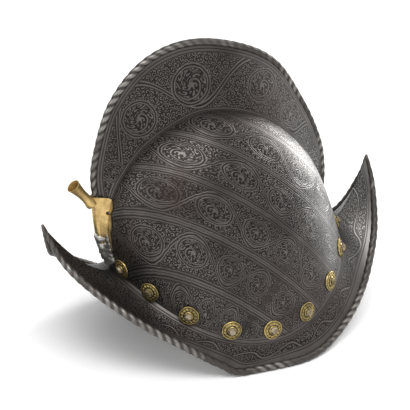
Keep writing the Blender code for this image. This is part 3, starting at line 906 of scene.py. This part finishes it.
@dataclass
class SteelPlate:
    """Skull, comb and brim as one forged plate.

    Attributes:
        form: The helmet's shape.
        columns: Faces from the rear tip to the front tip.
        comb_rows: Faces down the comb's flank.
        dome_rows: Faces down the skull.
        brim_rows: Faces out along the brim.
    """

    form: HelmetForm
    columns: int = 240
    comb_rows: int = 14
    dome_rows: int = 38
    brim_rows: int = 12

    def shares(self) -> np.ndarray:
        """The shares of the columns, closer together at both tips."""
        even = np.linspace(0, 1, self.columns + 1)
        return even - 0.045 * np.sin(2 * math.pi * even)

    def band_map(self, points: np.ndarray) -> np.ndarray:
        """The map of the skull's oblique bands, in millimetres.

        Args:
            points: Positions in metres on the near side.

        Returns:
            Distance along the bands and across them.
        """
        normal = np.array([0.5811, 0.5480, 0.6017])
        centre = np.array([15.0, 0.0, 75.0])
        along = np.cross(normal, [0.0, -1.0, 0.0])
        along /= np.linalg.norm(along)
        third = np.cross(normal, along)
        offset = points * 1000 - centre
        angle = np.arctan2(offset @ along, offset @ third)
        return np.stack([95.0 * angle, 1.3 * (points * 1000) @ normal], axis=1)

    def build(self, finishes: Finishes) -> bpy.types.Object:
        """Loft the near half on a grid, mirror it and give it its thickness.

        Args:
            finishes: The finishes of the three regions and the inside.

        Returns:
            The plate.
        """
        shares = self.shares()
        rows = self.comb_rows + self.dome_rows + self.brim_rows
        table = np.zeros((self.columns + 1, rows + 1, 3))
        borders = np.zeros((self.columns + 1, rows + 1, 2))
        comb_end = self.comb_rows
        dome_end = comb_end + self.dome_rows
        for column, share in enumerate(shares):
            comb = self.form.comb_profile(share, self.comb_rows)
            dome = self.form.dome_profile(share, self.dome_rows)
            brim = self.form.brim_profile(share, self.brim_rows)
            profile = np.concatenate([comb, dome[1:], brim[1:]])
            profile[:, 1] = np.minimum(profile[:, 1], 0.0)
            if column in (0, self.columns):
                profile[:, 1] = 0.0
            profile[0, 1] = 0.0
            table[column] = profile
            lengths = path_lengths(profile) * 1000
            borders[column, : comb_end + 1, 0] = lengths[: comb_end + 1]
            borders[column, : comb_end + 1, 1] = lengths[comb_end] - lengths[: comb_end + 1]
            borders[column, comb_end + 1: dome_end + 1, 0] = (
                lengths[comb_end + 1: dome_end + 1] - lengths[comb_end])
            borders[column, comb_end + 1: dome_end + 1, 1] = (
                lengths[dome_end] - lengths[comb_end + 1: dome_end + 1])
            borders[column, dome_end + 1:, 0] = lengths[dome_end + 1:] - lengths[dome_end]
            borders[column, dome_end + 1:, 1] = lengths[-1] - lengths[dome_end + 1:]
        plate = wrap_grid("steel_plate", self.columns, rows, lambda c, r: table[c, r])
        self.map_regions(plate, table, borders, (comb_end, dome_end, rows))
        for material in (finishes.comb, finishes.skull, finishes.brim):
            plate.data.materials.append(material)
        for _ in range(3):
            plate.data.materials.append(finishes.inside)
        self.thicken(plate)
        smooth(plate, 28.0)
        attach(plate, "root")
        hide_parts("helmet_shell")
        return plate

    def map_regions(self, plate: bpy.types.Object, table: np.ndarray, borders: np.ndarray,
                    ends: tuple[int, int, int]) -> None:
        """Write the maps that the etching follows, and sort the faces by region.

        Args:
            plate: The near half as a grid.
            table: Its corner positions by column and row.
            borders: Distances to the borders of each region, by column and row.
            ends: The last row of the comb, of the skull and of the brim.
        """
        comb_end, dome_end, last = ends
        flat_rows = last + 1
        middle = table[:, comb_end // 2]
        along = path_lengths(middle) * 1000
        marks = [np.argmin(np.abs(middle[:, 0] - x) + np.abs(middle[:, 2] - z))
                 for x, z in ((-0.104, 0.186), (-0.0775, 0.2335), (-0.024, 0.258),
                              (0.051, 0.244), (0.082, 0.209), (0.1015, 0.176))]
        cells = np.interp(along, along[marks], np.arange(6.0))
        brim_run = path_lengths(table[:, (dome_end + last) // 2]) * 1000
        bands = self.band_map(table.reshape(-1, 3)).reshape(self.columns + 1, flat_rows, 2)
        mesh = plate.data
        order = self.grid_order(plate)
        layers = {name: np.zeros((len(mesh.loops), 2)) for name in ("ornament", "borders", "run")}
        region_of_face = np.zeros(len(mesh.polygons), dtype=np.int32)
        for polygon in mesh.polygons:
            places = [order[mesh.loops[i].vertex_index] for i in polygon.loop_indices]
            row = min(r for _, r in places)
            region = Region.BRIM
            if row < comb_end:
                region = Region.COMB
            elif row < dome_end:
                region = Region.SKULL
            region_of_face[polygon.index] = region.value
            for loop, (c, r) in zip(polygon.loop_indices, places):
                border = borders[c, r].copy()
                if region is Region.COMB:
                    layers["ornament"][loop] = table[c, r, [0, 2]] * 1000
                    whole = max(border.sum(), 1e-6)
                    layers["run"][loop] = (cells[c], border[0] / whole)
                elif region is Region.SKULL:
                    layers["ornament"][loop] = bands[c, r]
                    if r == comb_end:
                        border[:] = (0.0, borders[c, r + 1].sum())
                else:
                    if r == dome_end:
                        border[:] = (0.0, borders[c, r + 1].sum())
                    layers["ornament"][loop] = (brim_run[c], border[0])
                layers["borders"][loop] = border
        for name, values in layers.items():
            layer = mesh.uv_layers.get(name) or mesh.uv_layers.new(name=name)
            layer.data.foreach_set("uv", values.astype(np.float32).ravel())
        mesh.polygons.foreach_set("material_index", region_of_face)

    def grid_order(self, plate: bpy.types.Object) -> list[tuple[int, int]]:
        """The column and row of each corner, in the order that the grid primitive makes them."""
        wide = self.columns + 1
        return [(i % wide, i // wide) for i in range(len(plate.data.vertices))]

    def thicken(self, plate: bpy.types.Object) -> None:
        """Mirror the near half and make the wall inwards from the outer skin."""
        select_only(plate)
        mirror = plate.modifiers.new("far half", "MIRROR")
        mirror.use_axis = (False, True, False)
        mirror.use_clip = True
        mirror.merge_threshold = 0.00002
        apply_modifiers(plate)
        select_only(plate)
        bpy.ops.object.mode_set(mode="EDIT")
        bpy.ops.mesh.select_all(action="SELECT")
        bpy.ops.mesh.normals_make_consistent(inside=False)
        bpy.ops.object.mode_set(mode="OBJECT")
        side = [p for p in plate.data.polygons if p.center.y < -0.085 and p.center.z > 0.06]
        if sum(p.normal.y for p in side) > 0:
            select_only(plate)
            bpy.ops.object.mode_set(mode="EDIT")
            bpy.ops.mesh.select_all(action="SELECT")
            bpy.ops.mesh.flip_normals()
            bpy.ops.object.mode_set(mode="OBJECT")
        wall = plate.modifiers.new("wall", "SOLIDIFY")
        wall.thickness = self.form.wall
        wall.offset = -1.0
        wall.material_offset = 3
        wall.material_offset_rim = 3
        apply_modifiers(plate)


@dataclass
class RopedEdge:
    """A raised cord hammered into an edge of the plate.

    Attributes:
        name: The piece's name.
        pitch: Distance between two strands along the edge.
        strands: Number of strands wound round it.
        depth: How deep the grooves are, as a share of the radius.
        sides: Faces round the cord.
    """

    name: str
    pitch: float
    strands: int
    depth: float
    sides: int = 18

    def build(self, path: np.ndarray, radii: np.ndarray, wear: np.ndarray,
              finish: bpy.types.Material) -> bpy.types.Object:
        """Sweep a tube along the path and wind grooves into it.

        Args:
            path: Points along the edge, closed if the last is the first.
            radii: The cord's radius at each point.
            wear: How far the grooves are worn away there, from 0 to 1.
            finish: The roped finish.

        Returns:
            The cord.
        """
        lengths = path_lengths(path)
        total = lengths[-1]
        count = int(total / self.pitch * 9)
        at = np.linspace(0, total, count + 1)
        spine = np.stack([np.interp(at, lengths, path[:, i]) for i in range(3)], axis=1)
        radius = np.interp(at, lengths, radii)
        worn = np.interp(at, lengths, wear)
        closed = np.linalg.norm(path[0] - path[-1]) < 1e-6
        ahead = np.gradient(spine, axis=0)
        if closed:
            ahead[0] = ahead[-1] = spine[1] - spine[-2]
        ahead /= np.linalg.norm(ahead, axis=1)[:, None]
        side = np.cross(ahead, [0.0, 0.0, 1.0])
        flat = np.linalg.norm(side, axis=1) < 0.2
        side[flat] = [0.0, 1.0, 0.0]
        for i in range(1, len(side)):
            across = side[i - 1] - ahead[i] * (side[i - 1] @ ahead[i])
            side[i] = across / np.linalg.norm(across)
        up = np.cross(side, ahead)
        turns = round(total / (self.pitch * self.strands)) if closed else total / (
            self.pitch * self.strands)

        def strand_height(step: int, corner: int) -> float:
            angle = corner / self.sides
            phase = self.strands * (at[step] / total * turns + angle)
            return abs(math.sin(math.pi * phase)) ** 0.55

        def place(step: int, corner: int) -> np.ndarray:
            angle = 2 * math.pi * corner / self.sides
            cut = self.depth * (1 - worn[step]) * (1 - strand_height(step, corner))
            reach = radius[step] * (1 - cut)
            return spine[step] + reach * (math.cos(angle) * side[step] + math.sin(angle) * up[step])

        cord = wrap_grid(self.name, count, self.sides, place)
        wide = count + 1
        pairs = np.array([
            (strand_height(i % wide, i // wide) * (1 - worn[i % wide]) + 0.75 * worn[i % wide], 0.0)
            for i in range(len(cord.data.vertices))])
        give_uv(cord, "strand", pairs)
        self.close_ends(cord)
        point_outwards(cord)
        cord.data.materials.append(finish)
        smooth(cord, 60.0)
        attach(cord, "root")
        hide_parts("helmet_shell")
        return cord

    def close_ends(self, cord: bpy.types.Object) -> None:
        """Merge the seam along the tube and fill both of its ends."""
        select_only(cord)
        bpy.ops.object.mode_set(mode="EDIT")
        bpy.ops.mesh.select_all(action="SELECT")
        bpy.ops.mesh.remove_doubles(threshold=0.000004)
        bpy.ops.mesh.select_all(action="DESELECT")
        bpy.ops.mesh.select_mode(type="EDGE")
        bpy.ops.mesh.select_non_manifold()
        bpy.ops.mesh.edge_face_add()
        bpy.ops.object.mode_set(mode="OBJECT")


def node_seat(frame: dict, node: str) -> tuple[Vector, Vector, float]:
    """Where a small round solid sits on the helmet.

    Args:
        node: The solid's name.

    Returns:
        The middle of its base, its axis pointing outwards, and its radius.
    """
    points = get_vertices(frame["nodes"][node])
    centre = points.mean(axis=0)
    _, _, ways = np.linalg.svd(points - centre, full_matrices=False)
    axis = ways[2]
    if axis @ (centre - np.array([0.0158, 0.0, 0.09])) < 0:
        axis = -axis
    heights = (points - centre) @ axis
    radius = np.linalg.norm((points - centre) - np.outer(heights, axis), axis=1).max()
    return Vector(centre + axis * heights.min()), Vector(axis), float(radius)


def turned_disc(name: str, rows: Sequence[tuple[float, float]], sides: int) -> bpy.types.Object:
    """A turned piece from a circle, extruded and resized ring by ring.

    Args:
        name: The piece's name.
        rows: Radius and height of each ring, from the middle of the back outwards and over.
        sides: Faces round it.

    Returns:
        The closed piece, standing on the origin along +Z.
    """
    clear_selection()
    bpy.ops.mesh.primitive_circle_add(vertices=sides, radius=rows[0][0], fill_type="TRIFAN",
                                      location=(0, 0, rows[0][1]))
    item = bpy.context.object
    item.name = name
    item.data.name = name
    bpy.ops.object.transform_apply(location=True)
    bpy.ops.object.mode_set(mode="EDIT")
    bpy.ops.mesh.select_mode(type="EDGE")
    bpy.ops.mesh.select_all(action="DESELECT")
    bpy.ops.mesh.select_non_manifold()
    radius, height = rows[0]
    for next_radius, next_height in rows[1:]:
        bpy.ops.mesh.extrude_region_move(
            TRANSFORM_OT_translate={"value": (0, 0, next_height - height)})
        scale = next_radius / radius
        bpy.ops.transform.resize(value=(scale, scale, 1.0), center_override=(0, 0, 0))
        radius, height = next_radius, next_height
    bpy.ops.mesh.edge_face_add()
    bpy.ops.mesh.poke()
    bpy.ops.object.mode_set(mode="OBJECT")
    return item


@dataclass
class RosetteRing:
    """The eighteen brass rosettes and the dome-headed rivets through them.

    Attributes:
        petals: Number of petals.
        sides: Faces round a rosette.
    """

    petals: int = 12
    sides: int = 72

    def rosette(self, radius: float, bent: int) -> bpy.types.Object:
        """One rosette: a beaded rim, a ring of petals, a groove and a raised collar.

        Args:
            radius: Its outer radius.
            bent: A whole number that varies its wear.

        Returns:
            The rosette, on the origin along +Z.
        """
        rows = [
            (0.22 * radius, 0.0), (0.96 * radius, 0.0), (1.00 * radius, 0.0003),
            (0.99 * radius, 0.0010), (0.94 * radius, 0.00135), (0.885 * radius, 0.00115),
            (0.85 * radius, 0.00095), (0.80 * radius, 0.0014), (0.72 * radius, 0.0019),
            (0.62 * radius, 0.0020), (0.54 * radius, 0.00165), (0.50 * radius, 0.00155),
            (0.46 * radius, 0.0021), (0.41 * radius, 0.0026), (0.36 * radius, 0.0026),
            (0.31 * radius, 0.0023), (0.2 * radius, 0.0022),
        ]
        item = turned_disc("rosette", rows, self.sides)
        points = get_vertices(item)
        reach = np.hypot(points[:, 0], points[:, 1]) / radius
        angle = np.arctan2(points[:, 1], points[:, 0])
        top = points[:, 2] > 0.0006
        petal = np.abs(np.sin(0.5 * self.petals * angle + 0.3 * bent)) ** 0.6
        ring = top & (reach > 0.52) & (reach < 0.84)
        points[ring, 2] -= (1 - petal[ring]) * 0.0008
        bead = top & (reach > 0.90)
        points[bead, 2] -= (1 - np.abs(np.sin(18 * angle[bead]))) * 0.0003
        wobble = 1 + 0.012 * np.sin(3 * angle + bent) + 0.008 * np.sin(5 * angle + 2 * bent)
        points[:, 0] *= wobble
        points[:, 1] *= wobble
        set_vertices(item, points)
        base = np.interp(reach, [0.0, 0.2, 0.31, 0.36, 0.41, 0.46, 0.5, 0.54, 0.62, 0.72, 0.8,
                                 0.85, 0.885, 0.94, 1.0],
                         [0.3, 0.3, 0.7, 1, 1, 0.5, 0.05, 0.15, 0.8, 0.85, 0.5, 0.05, 0.4,
                          1.0, 0.8])
        relief = np.where(ring, base * (0.25 + 0.75 * petal), base)
        give_uv(item, "relief", np.stack([relief, relief * 0], axis=1))
        return item

    def rivet(self, radius: float, rise: float) -> bpy.types.Object:
        """One dome-headed rivet with its shank.

        Args:
            radius: Radius of its head.
            rise: Height of its head.

        Returns:
            The rivet, its head's base on the origin along +Z.
        """
        rows = [(0.35 * radius, -0.0036), (0.35 * radius, -0.0002), (0.92 * radius, -0.0002),
                (radius, 0.0002)]
        for turn in (12, 25, 38, 51, 64, 77):
            angle = math.radians(turn)
            rows.append((radius * math.cos(angle), 0.0002 + rise * math.sin(angle)))
        return turned_disc("rivet", rows, 28)

    def build(self, frame: dict, finishes: Finishes) -> list[bpy.types.Object]:
        """Place a copy of each on every seat.

        Args:
            finishes: The brass and the rivets' steel.

        Returns:
            The rosettes and the rivets.
        """
        made = []
        for number in range(1, 19):
            node = f"rosette_{number:02d}"
            base, axis, radius = node_seat(frame, node)
            turn = Vector((0, 0, 1)).rotation_difference(axis).to_matrix().to_4x4()
            spin = Matrix.Rotation(0.7 * number, 4, "Z")
            piece = self.rosette(radius * 0.985, number)
            piece.data.transform(Matrix.Translation(base) @ turn @ spin)
            piece.name = f"petal_rosette_{number:02d}"
            piece.data.materials.append(finishes.rosette)
            point_outwards(piece)
            smooth(piece, 50.0)
            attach(piece, "root")
            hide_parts(node)
            head = self.rivet(0.0033, 0.0021)
            head.data.transform(Matrix.Translation(base + axis * 0.0027) @ turn)
            head.name = f"domed_rivet_{number:02d}"
            head.data.materials.append(finishes.rivet)
            point_outwards(head)
            smooth(head, 50.0)
            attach(head, "root")
            made += [piece, head]
            frame["nodes"][f"lining_rivet_{number:02d}"].data.materials.clear()
            frame["nodes"][f"lining_rivet_{number:02d}"].data.materials.append(finishes.rivet)
        return made


@dataclass
class PlumeHolder:
    """The brass holder at the back: a lobed saddle, a flared socket and the solder.

    Attributes:
        form: The helmet's shape.
        start: Share of the plate at which the saddle begins.
        finish: Share at which it ends.
        side: Length of a flank.
        wall: Thickness of the brass.
        run: Length of the saddle's ridge.
        keyhole: Radius of the keyholes.
        solid_columns: Columns of the plate's solid.
        solid_rows: Rows down the skull of the plate's solid.
    """

    form: HelmetForm
    start: float = 0.060
    finish: float = 0.172
    side: float = 0.0215
    wall: float = 0.0012
    run: float = 0.0500
    keyhole: float = 0.0021
    solid_columns: int = 36
    solid_rows: int = 8

    def skin_rows(self, share: float) -> np.ndarray:
        """The plate's outside at one of its solid's columns, from the rim down the skull."""
        crease = self.form.crease(share)
        way = self.form.comb_way(share)
        height, radius = self.form.comb_size(share)
        neck = min(self.form.comb_neck, 0.8 * radius)
        root = -crease[1]
        foot = crease * np.array([1, 0, 1])
        rows = []
        for turn in (0.0, math.radians(50), math.radians(100)):
            rows.append((height - radius * (1 - math.cos(turn)), radius * math.sin(turn)))
        rows.append((0.42 * height, neck + 0.40 * (root - neck)))
        rows.append((0.10 * height, neck + 0.84 * (root - neck)))
        comb = [foot + way * up + np.array([0.0, -out, 0.0]) for up, out in rows]
        return np.array(comb + list(self.form.dome_profile(share, self.solid_rows)))

    def skin_path(self, share: float) -> np.ndarray:
        """The plate's outside at any share, read off the flat facets of its solid."""
        place_on = share * self.solid_columns
        first = min(int(place_on), self.solid_columns - 1)
        u = place_on - first
        near = self.skin_rows(first / self.solid_columns)
        far = self.skin_rows((first + 1) / self.solid_columns)
        return near * (1 - u) + far * u

    def flank_point(self, share: float, distance: float) -> np.ndarray:
        """A point on the plate this far down its near flank from the rim."""
        path = self.skin_path(share)
        lengths = path_lengths(path)
        return np.array([np.interp(distance, lengths, path[:, i]) for i in range(3)])

    def strip_point(self, share: float, distance: float, lift: float) -> np.ndarray:
        """A point over the plate's outside, this far down the near flank and this far off it."""
        here = self.flank_point(share, distance)
        down = self.flank_point(share, distance + 0.0012) - self.flank_point(
            share, max(distance - 0.0012, 0.0))
        if distance < 0.0012:
            down = np.array([0.0, -1.0, 0.0])
        along = self.flank_point(share + 0.006, distance) - self.flank_point(
            share - 0.006, distance)
        normal = np.cross(down, along)
        normal /= np.linalg.norm(normal)
        if normal @ (here - np.array([self.form.skull_forward, 0.0, 0.09])) < 0:
            normal = -normal
        return here + normal * lift

    def build(self, frame: dict, finishes: Finishes) -> list[bpy.types.Object]:
        """Make the saddle, the socket and the solder.

        Args:
            finishes: The brass and the solder.

        Returns:
            The three pieces.
        """
        return [self.saddle(finishes), self.socket(frame, finishes), self.solder(finishes)]

    def lobe_reach(self, step: float) -> float:
        """The length of a flank at a share of the saddle's height: three round lobes."""
        reach = 0.0
        for middle, radius in ((0.17, 0.175), (0.50, 0.165), (0.835, 0.170)):
            inside = radius**2 - (step - middle) ** 2
            if inside > 0:
                reach = max(reach, math.sqrt(inside) / radius)
        return self.side * (0.70 + 0.30 * reach)

    def saddle(self, finishes: Finishes) -> bpy.types.Object:
        """The brass plate folded over the comb, with keyholes between its lobes."""
        steps = 120
        across = 48
        holes = [(0.335 * self.run, 0.66 * self.side), (0.665 * self.run, 0.66 * self.side)]

        def strip_place(column: int, row: int) -> tuple[float, float, float]:
            step = column / steps
            turn = (row - across) / across
            return step * self.run, abs(turn) * self.lobe_reach(step), math.copysign(1.0, turn)

        def hole_at(along: float, down: float) -> tuple[float, float] | None:
            for hole in holes:
                if math.hypot(along - hole[0], down - hole[1]) < self.keyhole:
                    return hole
            return None

        def place(column: int, row: int) -> np.ndarray:
            along, down, side = strip_place(column, row)
            hole = hole_at(along, down)
            if hole is not None:
                apart = max(math.hypot(along - hole[0], down - hole[1]), 1e-6)
                along = hole[0] + (along - hole[0]) / apart * self.keyhole
                down = hole[1] + (down - hole[1]) / apart * self.keyhole
            share = self.start + (self.finish - self.start) * along / self.run
            point = self.strip_point(share, down, 0.0006)
            return point * np.array([1, -1, 1]) if side > 0 else point

        saddle = wrap_grid("lobed_saddle", steps, 2 * across, place)
        wide = steps + 1
        within = [hole_at(*strip_place(i % wide, i // wide)[:2]) is not None
                  for i in range(len(saddle.data.vertices))]
        select_only(saddle)
        bpy.ops.object.mode_set(mode="EDIT")
        bpy.ops.mesh.select_mode(type="FACE")
        bpy.ops.mesh.select_all(action="DESELECT")
        bpy.ops.object.mode_set(mode="OBJECT")
        for face in saddle.data.polygons:
            face.select = all(within[corner] for corner in face.vertices)
        bpy.ops.object.mode_set(mode="EDIT")
        bpy.ops.mesh.delete(type="FACE")
        bpy.ops.mesh.select_all(action="SELECT")
        bpy.ops.mesh.normals_make_consistent(inside=False)
        bpy.ops.object.mode_set(mode="OBJECT")
        ridge = [face for face in saddle.data.polygons if abs(face.center.y) < 0.002]
        if sum(face.normal.x for face in ridge) > 0:
            bpy.ops.object.mode_set(mode="EDIT")
            bpy.ops.mesh.select_all(action="SELECT")
            bpy.ops.mesh.flip_normals()
            bpy.ops.object.mode_set(mode="OBJECT")
        wall = saddle.modifiers.new("wall", "SOLIDIFY")
        wall.thickness = self.wall
        wall.offset = 1.0
        apply_modifiers(saddle)
        saddle.data.materials.clear()
        saddle.data.materials.append(finishes.brass)
        smooth(saddle, 40.0)
        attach(saddle, "root")
        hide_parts("plume_saddle")
        return saddle

    def socket(self, frame: dict, finishes: Finishes) -> bpy.types.Object:
        """The flared tube for the plume, with a turned lip and a collar at its foot."""
        points = get_vertices(frame["nodes"]["plume_socket"])
        axis = np.array([-math.sin(math.radians(40)), 0.0, math.cos(math.radians(40))])
        heights = points @ axis
        mouth = points[heights > heights.max() - 0.0004].mean(axis=0)
        length = 0.0285
        rows = [
            (0.0030, -length), (0.0058, -length), (0.0060, -length + 0.0030),
            (0.0052, -length + 0.0048), (0.0045, -0.0190), (0.0045, -0.0140), (0.0049, -0.0095),
            (0.0055, -0.0055), (0.0062, -0.0020), (0.0066, -0.0003), (0.00672, 0.0),
            (0.00655, 0.0002), (0.0060, 0.0), (0.0055, -0.0020), (0.0046, -0.0055),
            (0.0040, -0.0095), (0.0036, -0.0140), (0.0034, -0.0190), (0.0010, -0.0195),
        ]
        socket = turned_disc("flared_socket", rows, 40)
        turn = Vector((0, 0, 1)).rotation_difference(Vector(axis)).to_matrix().to_4x4()
        socket.data.transform(Matrix.Translation(Vector(mouth)) @ turn)
        socket.data.materials.append(finishes.brass)
        point_outwards(socket)
        smooth(socket, 45.0)
        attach(socket, "root")
        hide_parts("plume_socket")
        return socket

    def solder(self, finishes: Finishes) -> bpy.types.Object:
        """Lumps of solder run together over the saddle's lower end."""
        lumps = []
        random = np.random.default_rng(7)
        places = []
        for step in np.linspace(0.010, 0.078, 11):
            reach = 0.004 + 0.010 * (step / 0.078)
            for side in (1, -1):
                for _ in range(3):
                    places.append((step, random.uniform(0.0, reach), side,
                                   random.uniform(0.0021, 0.0036)))
            places.append((step, 0.0, 1, 0.0034))
        for share, distance, side, radius in places:
            point = self.strip_point(share, distance, 0.0006) * np.array([1, side, 1])
            clear_selection()
            bpy.ops.mesh.primitive_ico_sphere_add(subdivisions=2, radius=radius,
                                                  location=tuple(point))
            lump = bpy.context.object
            lump.scale = (1.0, 0.8, 1.2)
            bpy.ops.object.transform_apply(location=True, rotation=True, scale=True)
            lumps.append(lump)
        clear_selection()
        for lump in lumps:
            lump.select_set(True)
        bpy.context.view_layer.objects.active = lumps[0]
        bpy.ops.object.join()
        solder = bpy.context.object
        solder.name = "solder_run"
        solder.data.name = "solder_run"
        melt = solder.modifiers.new("melt", "REMESH")
        melt.mode = "VOXEL"
        melt.voxel_size = 0.0006
        flow = solder.modifiers.new("flow", "SMOOTH")
        flow.factor = 0.6
        flow.iterations = 8
        apply_modifiers(solder)
        solder.data.materials.append(finishes.solder)
        smooth(solder, 60.0)
        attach(solder, "root")
        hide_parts("solder_patch")
        return solder


@dataclass
class Studio:
    """A pale floor, soft lights and the photograph's camera.

    Attributes:
        azimuth: The camera's angle round the helmet, in degrees.
        elevation: Its angle above the floor, in degrees.
        distance: Its distance in metres.
        lens: Its focal length in millimetres on a 36 mm sensor.
    """

    azimuth: float = -27.42
    elevation: float = 27.0
    distance: float = 1.951
    lens: float = 175.6

    def build(self) -> None:
        """Set up floor, lights, world and camera."""
        bpy.context.scene.view_settings.view_transform = "Standard"
        self.floor()
        self.lights()
        self.camera()

    def floor(self) -> None:
        """A large pale floor."""
        clear_selection()
        bpy.ops.mesh.primitive_plane_add(size=12.0)
        floor = bpy.context.object
        floor.name = "studio_floor"
        sheet = NodeSheet(bpy.data.materials.new("white_floor"))
        sheet.shader.inputs["Base Color"].default_value = (0.93, 0.93, 0.93, 1.0)
        sheet.shader.inputs["Roughness"].default_value = 0.9
        floor.data.materials.append(sheet.material)

    def light(self, name: str, place: tuple[float, float, float], aim: tuple[float, float, float],
              size: tuple[float, float], power: float) -> None:
        """An area light aimed at a point."""
        clear_selection()
        bpy.ops.object.light_add(type="AREA", location=place)
        lamp = bpy.context.object
        lamp.name = name
        lamp.data.shape = "RECTANGLE"
        lamp.data.size, lamp.data.size_y = size
        lamp.data.energy = power
        way = Vector(aim) - Vector(place)
        lamp.rotation_euler = way.to_track_quat("-Z", "Y").to_euler()

    def lights(self) -> None:
        """A broad soft key from above, a strip that glints on the front flank, and a fill."""
        self.light("key", (-0.5, -1.2, 2.2), (0, 0, 0.12), (1.6, 1.2), 42.0)
        self.light("strip", (1.45, 0.40, 0.60), (0.05, 0, 0.17), (0.45, 0.9), 17.0)
        self.light("fill", (-1.8, -0.3, 0.8), (0, 0, 0.12), (1.0, 1.0), 8.0)
        world = bpy.data.worlds.new("studio") if not bpy.data.worlds else bpy.data.worlds[0]
        bpy.context.scene.world = world
        world.use_nodes = True
        world.node_tree.nodes["Background"].inputs[0].default_value = (1.0, 1.0, 1.0, 1.0)
        world.node_tree.nodes["Background"].inputs[1].default_value = 0.75

    def camera(self) -> None:
        """The camera at the photograph's angle."""
        a = math.radians(self.azimuth)
        e = math.radians(self.elevation)
        back = Vector((math.sin(a) * math.cos(e), -math.cos(a) * math.cos(e), math.sin(e)))
        right = Vector((math.cos(a), math.sin(a), 0.0))
        up = back.cross(right)
        origin = Vector((0.0, 0.0, 0.03697))
        aim = origin - right * 0.00556 + up * 0.0829
        clear_selection()
        bpy.ops.object.camera_add(location=origin + back * self.distance)
        camera = bpy.context.object
        camera.rotation_euler = (aim - camera.location).to_track_quat("-Z", "Y").to_euler()
        camera.data.lens = self.lens
        camera.data.sensor_width = 36.0
        camera.data.clip_start = 0.05
        bpy.context.scene.camera = camera


def add_roped_edges(form: HelmetForm, finishes: Finishes) -> list[bpy.types.Object]:
    """The roped edge round the brim and the one over the comb.

    Args:
        form: The helmet's shape.
        finishes: The roped finish.

    Returns:
        Both cords.
    """
    shares = np.linspace(0, 1, 181)
    near = np.array([form.edge(share) for share in shares])
    near[0, 1] = near[-1, 1] = 0.0
    far = near[::-1] * np.array([1, -1, 1])
    brim = np.concatenate([near, far[1:]])
    radius = np.array([form.brim_roll * form.station(share)["roll"] for share in shares])
    radii = np.concatenate([radius, radius[::-1][1:]])
    wear = np.full(len(radii), 0.10)
    cord = RopedEdge("brim_cord", 0.0094, 2, 0.26).build(brim, radii, wear, finishes.rope)
    comb_shares = np.linspace(0.035, 0.965, 161)
    comb = np.array([form.rim(share) for share in comb_shares])
    radii = np.array([form.comb_size(share)[1] for share in comb_shares])
    worn = 0.85 * np.exp(-(((comb[:, 0] + 0.005) / 0.045) ** 2)) * (comb[:, 2] > 0.26)
    crest = RopedEdge("comb_cord", 0.0090, 2, 0.26).build(comb, radii, worn, finishes.rope)
    return [cord, crest]


def main() -> None:
    """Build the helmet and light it."""
    logging.basicConfig(level=logging.INFO, format="%(message)s")
    for item in list(bpy.data.objects):
        bpy.data.objects.remove(item, do_unlink=True)
    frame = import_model()
    form = HelmetForm()
    finishes = Finishes.make()
    made = [SteelPlate(form).build(finishes)]
    made += add_roped_edges(form, finishes)
    made += RosetteRing().build(frame, finishes)
    made += PlumeHolder(form).build(frame, finishes)
    for piece in made:
        LOG.info("%s: %d faces", piece.name, len(piece.data.polygons))
    Studio().build()


if __name__ == "__main__":
    main()
